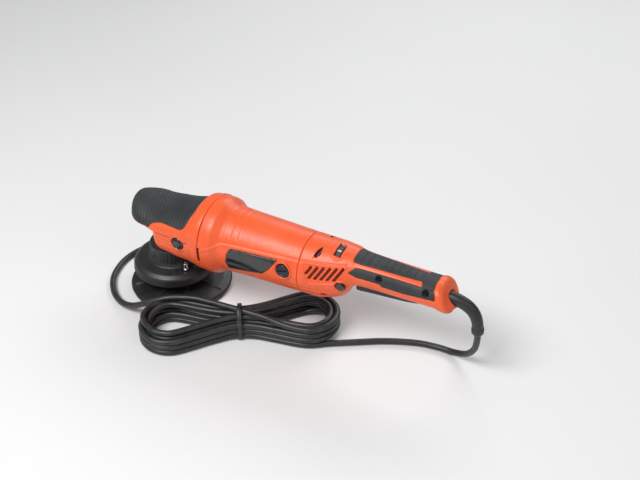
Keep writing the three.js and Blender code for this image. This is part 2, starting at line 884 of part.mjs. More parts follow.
piece(
  "handle_shell_left",
  cut(shellBody.intersect(box(100, 400, -60, -GAP / 2, 0, 200)), ...screwWells),
  ORANGE,
);
piece("handle_shell_right", shellBody.intersect(box(100, 400, GAP / 2, 60, 0, 200)), ORANGE);

piece("grip_top", gripSkin(topGrip(0), 0, RUBBER), RUBBER_BLACK);
const sideInlays = cut(
  gripSkin(sideGrip(0), 0, RUBBER),
  ...screwWells,
);
for (const { name, sign } of SIDES)
  piece(
    `grip_side_${name}`,
    sideInlays.intersect(box(200, 400, ...across(sign, 5, 60), 60, 140)),
    RUBBER_BLACK,
  );

HANDLE_SCREWS.forEach(([x, z], index) =>
  piece(`handle_screw_${index + 1}`, turnedY(
    [
      [-17, 0],
      [-14.3, 0],
      [-14.3, 3.1],
      [-17, 3.1],
    ],
    x,
    z,
    14,
  ), DARK_STEEL),
);

// ---------------------------------------------------------------- controls
piece(
  "paddle_trigger",
  prismY(
    outline([
      [241, 79.5],
      [296, 84.5],
      [312, 87],
      [318, 90.5],
      [312, 95],
      [300, 92],
      [250, 90.5],
      [243, 92],
    ]),
    -TRIGGER_HALF,
    TRIGGER_HALF,
  ),
  PLASTIC_BLACK,
);
piece(
  "lock_button",
  turnedY(rod(-28.6, -17, LOCK_BUTTON.r), LOCK_BUTTON.x, LOCK_BUTTON.z, 24),
  PLASTIC_BLACK,
);
piece(
  "speed_dial",
  turnedX(
    tube(DIAL.x - DIAL.width / 2, DIAL.x + DIAL.width / 2, 2.6, DIAL.r),
    DIAL.y,
    DIAL.z,
    36,
  ),
  PLASTIC_BLACK,
);
piece(
  "speed_controller",
  join(
    box(206, 217, -14, 10, 94, 112),
    turnedX(rod(216, 227, 2.2), DIAL.y, DIAL.z, 14),
  ),
  BOARD_GREEN,
);
piece("switch_module", box(256, 298, -7, 7, 99.5, 110.5), PLASTIC_BLACK);

// ---------------------------------------------------------------- cord
function curveThrough(points) {
  return new THREE.CatmullRomCurve3(points.map(([x, y, z]) => new THREE.Vector3(x, y, z)));
}

// The boot leaves the tail level and droops under the cord's weight.
const boot = new THREE.CubicBezierCurve3(
  new THREE.Vector3(TAIL_X - 5, 0, EXIT_Z),
  new THREE.Vector3(TAIL_X + 21, 0, EXIT_Z),
  new THREE.Vector3(TAIL_X + 33, 2, EXIT_Z - 9),
  new THREE.Vector3(TAIL_X + 33, 4, EXIT_Z - 38),
);
function bootRings(steps, sides) {
  const frames = boot.computeFrenetFrames(steps);
  return Array.from({ length: steps + 1 }, (_, step) => {
    const share = step / steps;
    const radius = share > 0.9 ? 6.7 : 7.3 - 1.4 * share;
    const centre = boot.getPointAt(share);
    return Array.from({ length: sides }, (_, side) => {
      const angle = (2 * Math.PI * side) / sides;
      return centre
        .clone()
        .addScaledVector(frames.normals[step], radius * Math.cos(angle))
        .addScaledVector(frames.binormals[step], radius * Math.sin(angle));
    });
  });
}
piece("strain_relief", loft(bootRings(10, 12)), RUBBER_BLACK);

const LEAD_ROUTE = [
  [374, 4.1, 62.6],
  [373.8, 6.5, 49],
  [370, 12, 31.5],
  [360, 20, 15],
  [344, 26.5, 5.5],
  [326, 28, CORD_Z],
  [306, 25, CORD_Z],
  [286, 18, CORD_Z],
  [266, 8.5, CORD_Z],
  [248, -2.2, CORD_Z],
  [232, -12.2, CORD_Z],
  [216, -22.2, CORD_Z],
  [199.5, -32.6, CORD_Z],
];
const TAIL_ROUTE = [
  [52, -57, 31.4],
  [37.5, -63, 30.6],
  [23, -70.5, 26.6],
  [7.5, -75, 19],
  [-9, -76, 11],
  [-26, -72.5, 6],
  [-42, -64, 4],
  [-56, -51.5, CORD_Z],
  [-67, -36, CORD_Z],
  [-73.5, -18, CORD_Z],
  [-76, 0, CORD_Z],
  [-73.5, 18, CORD_Z],
  [-67, 35, CORD_Z],
  [-56, 51, CORD_Z],
  [-41, 65, CORD_Z],
  [-24, 77, CORD_Z + 0.2],
  [-6, 87, CORD_Z + 1.6],
  [10, 94.5, 8.4],
  [24, 99.3, 12],
  [36, 100.5, 13.5],
];
const cordSection = new THREE.Shape();
cordSection.absarc(0, 0, CORD_D / 2, 0, 2 * Math.PI, false);
const cordTube = (route, steps) =>
  solidOf(
    new THREE.ExtrudeGeometry(cordSection, {
      steps,
      bevelEnabled: false,
      curveSegments: 4,
      extrudePath: curveThrough(route),
    }),
  );

// The hank's outline: a round lobe at each end, drawn in to a waist at the tie.
function hankOutline(grow) {
  const { lobe, lobeR, waist } = HANK;
  const arc = THREE.MathUtils.degToRad(107);
  const nearTie = waist + 3 + grow;
  const shape = new THREE.Shape();
  shape.absarc(lobe, 0, lobeR + grow, -arc, arc, false);
  shape.lineTo(14, nearTie);
  shape.quadraticCurveTo(0, nearTie - 6, -14, nearTie);
  shape.absarc(-lobe, 0, lobeR + grow, Math.PI - arc, Math.PI + arc, false);
  shape.lineTo(-14, -nearTie);
  shape.quadraticCurveTo(0, -nearTie + 6, 14, -nearTie);
  return shape;
}
const TIE = { half: 2.5, thick: 1.4 };
const laid = (solid) => solid.rotate([0, 0, HANK.turn]).translate([HANK.x, HANK.y, 0]);
const tieCore = { y: HANK.waist - TIE.thick - GAP, low: TIE.thick + 2 * GAP };
const core = (grow) =>
  box(
    -20,
    20,
    -tieCore.y - grow,
    tieCore.y + grow,
    tieCore.low - grow,
    HANK.height - tieCore.low + grow,
  );
const band = (half) => box(-half, half, -60, 60, -10, 60);
piece(
  "cord_hank",
  laid(cut(prismZ(hankOutline(0), 0.1, HANK.height, 6), cut(band(TIE.half + GAP), core(0)))),
  CORD_BLACK,
);
piece(
  "cord_tie",
  laid(cut(band(TIE.half).intersect(core(GAP + TIE.thick)), core(GAP))),
  PLASTIC_BLACK,
);
const hankClear = laid(prismZ(hankOutline(GAP), -10, 60, 6));
piece("cord_lead", cut(cordTube(LEAD_ROUTE, 24), hankClear), CORD_BLACK);
piece("cord_tail", cut(cordTube(TAIL_ROUTE, 26), hankClear), CORD_BLACK);

// Round-pin mains plug, lying behind the head.
const PLUG = { x: 36.8, y: 100.5, z: 13.5 };
const plugShape = [
  [0, 0],
  [45, 0],
  [45, 12.5],
  [40, 13.4],
  [18, 12],
  [8, 8],
  [0, 6],
];
piece(
  "plug",
  turnedX(plugShape.map(([x, r]) => [PLUG.x + x, r]), PLUG.y, PLUG.z, 28),
  PLASTIC_BLACK,
);
for (const { name, sign } of SIDES)
  piece(
    `plug_pin_${name}`,
    turnedX(rod(PLUG.x + 45.3, PLUG.x + 64, 2.4), PLUG.y + sign * 9.5, PLUG.z, 12),
    BRASS,
  );

export default polisher;
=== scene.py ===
"""A corded dual action polisher: its visible skins, rubber inlays, controls, plate and cord, built
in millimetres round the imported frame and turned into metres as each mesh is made."""

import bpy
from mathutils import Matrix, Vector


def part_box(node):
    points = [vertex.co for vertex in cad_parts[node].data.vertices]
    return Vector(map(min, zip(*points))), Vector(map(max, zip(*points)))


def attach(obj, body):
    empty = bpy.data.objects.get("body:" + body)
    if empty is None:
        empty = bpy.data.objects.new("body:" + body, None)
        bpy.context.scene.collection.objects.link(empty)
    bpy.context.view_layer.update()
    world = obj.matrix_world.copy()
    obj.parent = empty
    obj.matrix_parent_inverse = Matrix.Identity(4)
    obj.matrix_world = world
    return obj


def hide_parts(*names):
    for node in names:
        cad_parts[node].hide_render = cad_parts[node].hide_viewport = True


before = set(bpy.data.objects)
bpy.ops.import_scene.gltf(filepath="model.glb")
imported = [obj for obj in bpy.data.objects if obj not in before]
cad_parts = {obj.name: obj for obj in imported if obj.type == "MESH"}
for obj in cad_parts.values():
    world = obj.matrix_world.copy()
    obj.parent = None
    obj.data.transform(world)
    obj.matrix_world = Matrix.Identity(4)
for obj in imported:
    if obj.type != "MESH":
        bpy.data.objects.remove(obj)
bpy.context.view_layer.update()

import math

import bmesh
import bpy
import numpy as np
from mathutils import Matrix, Vector

MM = 0.001
SEED = 7
random = np.random.default_rng(SEED)


def cad(node):
    """Lowest and highest corner of a CAD node, in millimetres."""
    low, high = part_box(node)
    return np.array(low) / MM, np.array(high) / MM


def cad_middle(node):
    low, high = cad(node)
    return (low + high) / 2


# ------------------------------------------------------------------ places, from the frame
SHAFT_LOW, SHAFT_HIGH = cad("armature_shaft")
AXIS_Z = (SHAFT_LOW[2] + SHAFT_HIGH[2]) / 2  # motor axis over the plate's face
HOUSING_LOW, HOUSING_HIGH = cad("motor_housing")
SEAM_FRONT, SEAM_REAR = HOUSING_LOW[0], HOUSING_HIGH[0]
NOSE_X = cad("head_shell")[0][0]
TAIL_X = cad("strain_relief")[0][0] + 5
CORD_D = 7.0
CORD_Z = CORD_D / 2 + 0.1
EXIT_Z = 101.0

# ------------------------------------------------------------------ camera
CAMERA_AT = (0.5847, -0.7466, 0.7258)
CAMERA_RIGHT = Vector((0.886, 0.464, 0.0))
CAMERA_FORWARD = Vector((-0.377, 0.720, -0.582))
CAMERA_SENSOR, CAMERA_LENS = 36, 55.2


def make_camera():
    camera = bpy.data.objects.new("camera", bpy.data.cameras.new("camera"))
    bpy.context.scene.collection.objects.link(camera)
    forward = CAMERA_FORWARD.normalized()
    right = (CAMERA_RIGHT - forward * CAMERA_RIGHT.dot(forward)).normalized()
    up = right.cross(forward)
    turn = Matrix((right, up, -forward)).transposed().to_4x4()
    camera.matrix_world = Matrix.Translation(CAMERA_AT) @ turn
    camera.data.sensor_width = CAMERA_SENSOR
    camera.data.lens = CAMERA_LENS
    camera.data.clip_start = 0.01
    bpy.context.scene.camera = camera


make_camera()


# ------------------------------------------------------------------ small mathematics
def smooth(value):
    """0 to 1 with level ends."""
    value = np.clip(value, 0, 1)
    return value * value * (3 - 2 * value)


def bump(distance, width):
    """1 on a line, fading to 0 at width from it."""
    return smooth(1 - np.abs(distance) / width)


def within(distance, reach, edge=0.6):
    """1 where distance is well under reach, 0 past it, with a soft edge between."""
    return smooth((reach - distance) / edge)


def between(table, at):
    """Monotone cubic curve through the rows (x, value) of a table."""
    xs, ys = np.array(table, float).T
    step = np.diff(xs)
    slope = np.diff(ys) / step
    product, total = slope[1:] * slope[:-1], slope[1:] + slope[:-1]
    tangent = np.zeros_like(ys)
    tangent[1:-1] = np.where(
        product > 0, 2 * slope[1:] * slope[:-1] / np.where(total == 0, 1, total), 0
    )
    tangent[0], tangent[-1] = slope[0], slope[-1]
    at = np.clip(at, xs[0], xs[-1])
    i = np.clip(np.searchsorted(xs, at) - 1, 0, len(step) - 1)
    t = (at - xs[i]) / step[i]
    rise = step[i] * ((t**3 - 2 * t**2 + t) * tangent[i] + (t**3 - t**2) * tangent[i + 1])
    return (2 * t**3 - 3 * t**2 + 1) * ys[i] + (3 * t**2 - 2 * t**3) * ys[i + 1] + rise


def segment_distance(a, b, x, z):
    """Distance in the side view from points to one straight segment."""
    along = np.subtract(b, a)
    t = ((x - a[0]) * along[0] + (z - a[1]) * along[1]) / (along @ along)
    t = np.clip(t, 0, 1)
    return np.hypot(x - a[0] - t * along[0], z - a[1] - t * along[1])


def line_distance(points, x, z):
    return np.min([segment_distance(a, b, x, z) for a, b in zip(points, points[1:])], axis=0)


def outline_distance(points, x, z):
    """Signed distance in the side view to a closed outline: below 0 inside it."""
    closed = list(points) + [points[0]]
    inside = np.zeros(np.shape(x), bool)
    for (ax, az), (bx, bz) in zip(closed, closed[1:]):
        crosses = (az > z) != (bz > z)
        at = ax + (z - az) * (bx - ax) / ((bz - az) or 1)
        inside ^= crosses & (x < at)
    return np.where(inside, -1, 1) * line_distance(closed, x, z)


def surface_distance(points, place, normal):
    """Signed distance to a side-view outline, measured along a sloping surface."""
    x, z, reach = place[..., 0], place[..., 2], 0.4
    here = outline_distance(points, x, z)
    dx = (outline_distance(points, x + reach, z) - here) / reach
    dz = (outline_distance(points, x, z + reach) - here) / reach
    into = dx * normal[..., 0] + dz * normal[..., 2]
    along = np.sqrt(np.clip(dx**2 + dz**2 - into**2, 0.09, 1))
    return here / along


def rounded(points, radius, closed=True, steps=4):
    """A polyline with its corners rounded."""
    points = [np.array(p, float) for p in points]
    count, out = len(points), []
    for i, corner in enumerate(points):
        if not closed and i in (0, count - 1):
            out.append(corner)
            continue
        ends = []
        for other in (points[i - 1], points[(i + 1) % count]):
            reach = np.linalg.norm(other - corner)
            ends.append(corner + (other - corner) * min(radius / reach, 0.46))
        for t in np.linspace(0, 1, steps + 1):
            out.append((1 - t) ** 2 * ends[0] + 2 * t * (1 - t) * corner + t**2 * ends[1])
    return [tuple(p) for p in out]


def over_axis(points):
    """Side-view points (x, height over the motor axis) in the frame's own heights."""
    return [(x, AXIS_Z + z) for x, z in points]


def finely(profile, step):
    """A profile with points at most a step apart."""
    out = []
    for (a0, r0), (a1, r1) in zip(profile, profile[1:]):
        count = max(1, int(math.hypot(a1 - a0, r1 - r0) / step))
        out += [(a0 + (a1 - a0) * k / count, r0 + (r1 - r0) * k / count) for k in range(count)]
    return out + [profile[-1]]


def spline(points, spacing):
    """Points at even spacing along a Catmull-Rom curve."""
    p = np.array(points, float)
    p = np.vstack([2 * p[0] - p[1], p, 2 * p[-1] - p[-2]])
    fine = []
    for i in range(1, len(p) - 2):
        for t in np.linspace(0, 1, 24, endpoint=False):
            a, b, c, d = p[i - 1 : i + 3]
            fine.append(
                0.5 * (2 * b + (c - a) * t + (2 * a - 5 * b + 4 * c - d) * t**2
                       + (3 * b - a - 3 * c + d) * t**3)
            )
    fine = np.array(fine + [p[-2]])
    run = np.concatenate([[0], np.cumsum(np.linalg.norm(np.diff(fine, axis=0), axis=1))])
    count = max(2, int(round(run[-1] / spacing)) + 1)
    at = np.linspace(0, run[-1], count)
    return np.stack([np.interp(at, run, fine[:, k]) for k in range(3)], 1)


# ------------------------------------------------------------------ meshes
def mesh_object(name, points, faces, marks=None):
    """A smooth-shaded mesh from millimetre points. marks is a value per point of painted light (painted
    shade in recesses, a painted highlight on the speed wheel), kept as a point attribute.
    """
    mesh = bpy.data.meshes.new(name)
    mesh.from_pydata((np.asarray(points, float) * MM).tolist(), [], faces)
    if marks is not None:
        layer = mesh.attributes.new("painted_light", "FLOAT", "POINT")
        layer.data.foreach_set("value", np.asarray(marks, np.float32).ravel())
    work = bmesh.new()
    work.from_mesh(mesh)
    bmesh.ops.remove_doubles(work, verts=work.verts, dist=2e-6)
    bmesh.ops.dissolve_degenerate(work, edges=work.edges, dist=1e-6)
    bmesh.ops.recalc_face_normals(work, faces=work.faces)
    work.to_mesh(mesh)
    work.free()
    mesh.polygons.foreach_set("use_smooth", [True] * len(mesh.polygons))
    mesh.update()
    obj = bpy.data.objects.new(name, mesh)
    bpy.context.scene.collection.objects.link(obj)
    return obj


def grid_faces(rows, columns, closed):
    """Quads of a rows by columns grid of points; closed joins the last column to the first."""
    faces = []
    for i in range(rows - 1):
        for j in range(columns if closed else columns - 1):
            k = (j + 1) % columns
            faces.append((i * columns + j, i * columns + k, (i + 1) * columns + k, (i + 1) * columns + j))
    return faces


def grid_object(name, place, closed=True, marks=None, keep=None):
    rows, columns = place.shape[:2]
    faces = grid_faces(rows, columns, closed)
    if keep is not None:
        kept = keep.ravel()
        faces = [f for f in faces if kept[list(f)].any()]
        used = np.unique(np.array(faces))
        renumber = np.full(rows * columns, -1)
        renumber[used] = np.arange(len(used))
        faces = renumber[np.array(faces)].tolist()
        points = place.reshape(-1, 3)[used]
        marks = None if marks is None else marks.ravel()[used]
        return mesh_object(name, points, faces, marks)
    return mesh_object(name, place.reshape(-1, 3), faces, marks)


def finished(obj, material, body, slot, *stands_for):
    obj.data.materials.clear()
    obj.data.materials.append(material)
    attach(obj, body)
    if stands_for:
        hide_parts(*stands_for)
    return obj


def turned(name, profile, axis, centre, segments=72, relief=None, corner=0.5, marks=None):
    """A turned piece. profile lists (distance along the axis, radius); centre is a point on the axis."""
    if corner:
        profile = rounded(profile, corner, closed=False)
    along, radius = np.array(profile, float).T
    turn = np.linspace(0, 2 * math.pi, segments, endpoint=False)
    a, t = np.meshgrid(along, turn, indexing="ij")
    r = np.repeat(radius[:, None], segments, 1)
    if relief is not None:
        r, a = relief(r, a, t)
    first, second = r * np.cos(t), r * np.sin(t)
    order = {"x": (a, first, second), "y": (first, a, second), "z": (first, second, a)}[axis]
    place = np.stack(order, -1) + np.array(centre, float)
    return grid_object(name, place, True, None if marks is None else marks(r, a, t))


def swept(name, path, radii, sides=12, caps=True):
    """A round tube along a path, with frames carried along it without twist."""
    path = np.asarray(path, float)
    radii = np.broadcast_to(radii, len(path))
    tangent = np.gradient(path, axis=0)
    tangent /= np.linalg.norm(tangent, axis=1)[:, None]
    side = np.cross(tangent[0], (0.0, 0.0, 1.0))
    if np.linalg.norm(side) < 0.1:
        side = np.cross(tangent[0], (0.0, 1.0, 0.0))
    rings = []
    turn = np.linspace(0, 2 * math.pi, sides, endpoint=False)
    for centre, direction, radius in zip(path, tangent, radii):
        side = side - direction * (side @ direction)
        side /= np.linalg.norm(side)
        other = np.cross(direction, side)
        rings.append(centre + radius * (np.outer(np.cos(turn), side) + np.outer(np.sin(turn), other)))
    if caps:
        rings = [np.repeat(path[:1], sides, 0)] + rings + [np.repeat(path[-1:], sides, 0)]
    return grid_object(name, np.array(rings))


# ------------------------------------------------------------------ materials
class Nodes:
    """A principled material and a few short ways to add nodes to it."""

    def __init__(self, name):
        self.material = bpy.data.materials.new(name)
        self.material.use_nodes = True
        self.tree = self.material.node_tree
        self.shader = self.tree.nodes["Principled BSDF"]
        self.place = self.add("ShaderNodeTexCoord").outputs["Object"]

    def add(self, kind, values=None, **settings):
        """A new node with its settings and the values of its inputs."""
        node = self.tree.nodes.new(kind)
        for key, value in settings.items():
            setattr(node, key, value)
        for key, value in (values or {}).items():
            node.inputs[key].default_value = value
        return node

    def texture(self, kind, values, source=None, **settings):
        """A texture node laid over the object's own coordinates, or over another source."""
        node = self.add(kind, values, **settings)
        self.link(source or self.place, node.inputs["Vector"])
        return node

    def link(self, source, target):
        self.tree.links.new(source, target)

    def stretched(self, scale):
        return self.texture("ShaderNodeMapping", {"Scale": scale}).outputs["Vector"]

    def noise(self, scale, detail=4.0, rough=0.55, source=None):
        values = {"Scale": scale, "Detail": detail, "Roughness": rough}
        return self.texture("ShaderNodeTexNoise", values, source).outputs["Fac"]

    def ramp(self, source, low, high, start=0.0, end=1.0):
        """A value mapped from start..end to low..high."""
        values = {"From Min": start, "From Max": end, "To Min": low, "To Max": high}
        node = self.add("ShaderNodeMapRange", values, clamp=True)
        self.link(source, node.inputs["Value"])
        return node.outputs["Result"]

    def mix(self, factor, first, second):
        """A colour mixed by a factor. first and second are colours or sockets."""
        node = self.add("ShaderNodeMix", data_type="RGBA")
        self.link(factor, node.inputs["Factor"])
        for socket, value in (("A", first), ("B", second)):
            target = [i for i in node.inputs if i.name == socket and i.type == "RGBA"][0]
            if isinstance(value, tuple):
                target.default_value = (*value, 1)
            else:
                self.link(value, target)
        return [o for o in node.outputs if o.type == "RGBA"][0]

    def times(self, first, second):
        node = self.add("ShaderNodeMath", operation="MULTIPLY")
        for target, value in zip(node.inputs, (first, second)):
            if isinstance(value, float):
                target.default_value = value
            else:
                self.link(value, target)
        return node.outputs[0]

    def relief(self, heights):
        """Bumps stacked on each other: each is (height socket, depth in metres, strength)."""
        normal = None
        for height, depth, strength in heights:
            node = self.add("ShaderNodeBump", {"Strength": strength, "Distance": depth})
            self.link(height, node.inputs["Height"])
            if normal is not None:
                self.link(normal, node.inputs["Normal"])
            normal = node.outputs["Normal"]
        self.link(normal, self.shader.inputs["Normal"])

    def edges(self):
        """1 on outer edges of the mesh, where handling wears them."""
        return self.ramp(self.add("ShaderNodeNewGeometry").outputs["Pointiness"], 0.0, 1.0, 0.52, 0.60)

    def surface(self, colour, rough, **values):
        """Joins up the colour and the roughness, and sets other values of the surface."""
        self.link(colour, self.shader.inputs["Base Color"])
        self.link(rough, self.shader.inputs["Roughness"])
        for key, value in values.items():
            self.shader.inputs[key.replace("_", " ")].default_value = value


def moulded(name, colour, rough, grain=900.0, depth=0.00006, wear=0.25, spread=0.12, painted_light_colour=None, coat=0.0):
    """Moulded plastic or rubber: fine grain, soft blotches, paler worn edges and dust, and a painted light
    colour where the mesh's point attribute is set: painted shade in recesses, and on the speed wheel a
    painted highlight.
    """
    n = Nodes(name)
    dark = tuple(c * (1 - spread) for c in colour)
    pale = tuple(min(1.0, c * (1 + spread) + 0.01) for c in colour)
    tone = n.mix(n.ramp(n.noise(38.0, 5.0), 0.0, 1.0, 0.3, 0.7), dark, pale)
    worn = tuple(c * 0.6 + 0.32 * 0.4 + 0.08 for c in colour)
    scuff = n.times(n.edges(), n.ramp(n.noise(120.0, 6.0, 0.7), 0.0, wear, 0.42, 0.62))
    tone = n.mix(scuff, tone, worn)
    # Painted light: where the mesh's point attribute is set, the colour turns to the last colour given, dark
    # as painted shade in recesses and pale as a painted highlight.
    if painted_light_colour:
        painted_light_share = n.add("ShaderNodeAttribute", attribute_name="painted_light").outputs["Fac"]
        tone = n.mix(n.ramp(painted_light_share, 0.0, 1.0, 0.15, 0.9), tone, painted_light_colour)
    polish = n.ramp(n.noise(260.0, 5.0, 0.65), rough - 0.07, rough + 0.09, 0.3, 0.7)
    n.surface(tone, polish, Coat_Weight=coat, Coat_Roughness=0.12)
    n.relief([(n.noise(grain, 3.0, 0.6), depth, 0.55), (n.noise(26.0, 3.0), 0.0004, 0.10)])
    return n.material


def metal(name, colour, rough, stretch=(1.0, 1.0, 1.0), scale=900.0, depth=0.00003, stain=0.2):
    """Machined or cast metal: tool marks drawn out along one way, stains and small pits."""
    n = Nodes(name)
    shade = tuple(c * (1 - stain) for c in colour)
    tone = n.mix(n.ramp(n.noise(60.0, 6.0, 0.65), 0.0, 1.0, 0.35, 0.65), shade, colour)
    marks = n.noise(scale, 4.0, 0.6, n.stretched(stretch))
    n.surface(tone, n.ramp(marks, rough - 0.08, rough + 0.12, 0.3, 0.7), Metallic=1.0)
    n.relief([(marks, depth, 0.5), (n.noise(180.0, 5.0), 0.00005, 0.2)])
    return n.material


def coiled_wire(name, colour):
    """Enamelled copper windings: fine bands of wire."""
    n = Nodes(name)
    values = {"Scale": 380.0, "Distortion": 1.2}
    wave = n.texture("ShaderNodeTexWave", values, wave_type="BANDS", bands_direction="DIAGONAL")
    bands = wave.outputs["Fac"]
    shade = tuple(c * 0.45 for c in colour)
    n.surface(n.mix(bands, shade, colour), n.ramp(n.noise(300.0), 0.25, 0.45), Metallic=0.9)
    n.relief([(bands, 0.0003, 0.7)])
    return n.material


def hooks(name, colour):
    """Hook fabric: a dense field of small dark hooks."""
    n = Nodes(name)
    cells = n.texture("ShaderNodeTexVoronoi", {"Scale": 900.0})
    near = n.ramp(cells.outputs["Distance"], 1.0, 0.0, 0.0, 0.7)
    shade = tuple(c * 0.3 for c in colour)
    n.surface(n.mix(near, shade, colour), n.ramp(n.noise(200.0), 0.75, 0.95), Sheen_Weight=0.3)
    n.relief([(near, 0.0008, 0.9), (n.noise(90.0), 0.0004, 0.3)])
    return n.material


def board(name, colour):
    """Circuit board: lacquer over pale tracks."""
    n = Nodes(name)
    shade = tuple(c * 0.8 for c in colour)
    values = {"Scale": 160.0, "Mortar Size": 0.03, "Color1": (*colour, 1), "Color2": (*shade, 1)}
    tracks = n.texture("ShaderNodeTexBrick", {**values, "Mortar": (0.28, 0.36, 0.16, 1)})
    n.surface(tracks.outputs["Color"], n.ramp(n.noise(200.0), 0.35, 0.5))
    n.relief([(tracks.outputs["Fac"], 0.0001, 0.5)])
    return n.material


# The last colour of ORANGE, RUBBER and BLACK is painted shade for the floors and walls of vents, wells,
# slots and grooves.
ORANGE = moulded("orange", (0.82, 0.104, 0.022), 0.38, 1300.0, 0.00003, 0.22, 0.05, (0.085, 0.003, 0.002))
RUBBER = moulded("rubber", (0.020, 0.0215, 0.024), 0.60, 1100.0, 0.00006, 0.35, 0.15, (0.008, 0.008, 0.009))
BLACK = moulded(
    "black_plastic", (0.010, 0.0105, 0.012), 0.42, 900.0, 0.00006, 0.35, 0.15, (0.004, 0.004, 0.004)
)
GLOSS = moulded("gloss_black", (0.007, 0.007, 0.008), 0.16, 400.0, 0.00001, 0.1, 0.1, None, 0.6)
CORD = moulded("cord_jacket", (0.0115, 0.012, 0.013), 0.40, 700.0, 0.00005, 0.3, 0.18)
ALUMINIUM = metal("cast_aluminium", (0.62, 0.63, 0.65), 0.42, (1, 1, 1), 500.0, 0.00008)
STEEL = metal("bright_steel", (0.66, 0.66, 0.67), 0.25, (1, 1, 12))
DARK_STEEL = metal("dark_steel", (0.16, 0.16, 0.17), 0.42, (1, 1, 6))
# Near-black steel for the screw heads: painted shade of the deep screw wells.
SCREW_STEEL_PAINTED_SHADE = metal("steel_painted_shade", (0.03, 0.03, 0.032), 0.45)
# Speed wheel: a grey base lighter than the black plastic and a pale last colour, both a painted highlight on
# the wheel.
WHEEL_PAINTED_HIGHLIGHT = moulded("wheel_painted_highlight", (0.035, 0.035, 0.038), 0.4, 900.0, 0.00005, 0.3, 0.15, (0.75, 0.75, 0.75))
BRASS = metal("brass", (0.75, 0.56, 0.27), 0.28, (8, 1, 1))
CARBON = metal("carbon", (0.03, 0.03, 0.032), 0.6, (1, 1, 1), 700.0)
COPPER = coiled_wire("copper_winding", (0.72, 0.29, 0.13))
HOOKS = hooks("hook_fabric", (0.05, 0.05, 0.055))
BOARD = board("circuit_board", (0.02, 0.13, 0.05))


# ------------------------------------------------------------------ cord
LEAD_ROUTE = [
    (374, 4.1, 62.6), (373.8, 6.5, 49), (370, 12, 31.5), (360, 20, 15), (344, 26.5, 5.5),
    (326, 28, CORD_Z), (306, 25, CORD_Z), (286, 18, CORD_Z), (266, 8.5, CORD_Z),
    (248, -2.2, CORD_Z), (232, -12.2, CORD_Z), (216, -22.2, CORD_Z), (199.5, -32.6, CORD_Z),
]
TAIL_ROUTE = [
    (52, -57, 31.4), (37.5, -63, 30.6), (23, -70.5, 26.6), (7.5, -75, 19), (-9, -76, 11),
    (-26, -72.5, 6), (-42, -64, 4), (-56, -51.5, CORD_Z), (-67, -36, CORD_Z),
    (-73.5, -18, CORD_Z), (-76, 0, CORD_Z), (-73.5, 18, CORD_Z), (-67, 35, CORD_Z),
    (-56, 51, CORD_Z), (-41, 65, CORD_Z), (-24, 77, CORD_Z + 0.2), (-6, 87, CORD_Z + 1.6),
    (10, 94.5, 8.4), (24, 99.3, 12), (36, 100.5, 13.5),
]
HANK_AT = np.array((118.0, -47.5))
HANK_TURN = math.radians(32)
LOBE = 77.0  # centre of each lobe from the tie
LOBE_ARC = 107.0  # degrees to each side that a lobe's turn takes
OUTER = {"radius": 31.8, "waist": 10.3}
INNER = {"radius": 24.8, "waist": 3.45}
LAYER = {"lobe": 7.0, "waist": 6.75}
HANK_START, HANK_END = 0.276, 7.4  # turns, counted from the far end of the right lobe's arc
# Where the cord moves to another place in the stack: (turn, is it outer, layer).
MOVES = [(1.15, 0, 0), (2.05, 0, 1), (2.95, 1, 1), (3.9, 1, 2), (4.8, 0, 2), (5.7, 0, 3), (6.65, 1, 3)]
MOVE_HALF = 0.05


def hank_turn(share, spec):
    """A point of one flat turn of the hank, in its own frame, at a share of the turn."""
    share = share % 1.0
    side = 1 if share < 0.5 else -1
    share = share % 0.5
    if share < 0.3:
        angle = math.radians(LOBE_ARC * (1 - 2 * share / 0.3))
        point = np.array((LOBE + spec["radius"] * math.cos(angle), spec["radius"] * math.sin(angle)))
        return side * point
    t = (share - 0.3) / 0.2
    arc = math.radians(LOBE_ARC)
    corner = np.array((LOBE + spec["radius"] * math.cos(arc), -spec["radius"] * math.sin(arc)))
    leave = np.array((-math.sin(arc), -math.cos(arc))) * corner[0]
    waist = np.array((0.0, -spec["waist"]))
    level = np.array((-1.0, 0.0)) * corner[0]
    mirror = np.array((-1.0, 1.0))
    if t > 0.5:
        start, end, depart, arrive, s = waist, corner * mirror, level, leave * (1, -1), 2 * t - 1
    else:
        start, end, depart, arrive, s = corner, waist, leave, level, 2 * t
    point = (2 * s**3 - 3 * s**2 + 1) * start + (3 * s**2 - 2 * s**3) * end
    point = point + (s**3 - 2 * s**2 + s) * depart + (s**3 - s**2) * arrive
    return side * point


def hank_path():
    """The cord's run through the hank, from the lead to the crossing at the tie."""
    wander = random.uniform(-1, 1, (64, 3))
    points = []
    for turn in np.arange(HANK_START, HANK_END + 0.001, 1 / 30):
        outer, layer = 1.0, 0.0
        for at, next_outer, next_layer in MOVES:
            share = smooth((turn - at + MOVE_HALF) / (2 * MOVE_HALF))
            outer, layer = outer + (next_outer - outer) * share, layer + (next_layer - layer) * share
        flat = hank_turn(turn, INNER) * (1 - outer) + hank_turn(turn, OUTER) * outer
        at_waist = smooth(1 - abs(flat[0]) / 34)
        low = CORD_Z + 1.5 * at_waist
        height = low + layer * (LAYER["lobe"] * (1 - at_waist) + LAYER["waist"] * at_waist)
        i = int(turn * 8)
        drift = wander[i] * (1 - smooth(turn * 8 - i)) + wander[i + 1] * smooth(turn * 8 - i)
        loose = 1 - at_waist
        points.append((flat[0] + 0.3 * drift[0] * loose, flat[1] + 0.3 * drift[1] * loose, height))
    return points


def laid(point):
    """A point of the hank's own frame in the row frame."""
    c, s = math.cos(HANK_TURN), math.sin(HANK_TURN)
    along, across, height = point
    return (HANK_AT[0] + c * along - s * across, HANK_AT[1] + s * along + c * across, height)


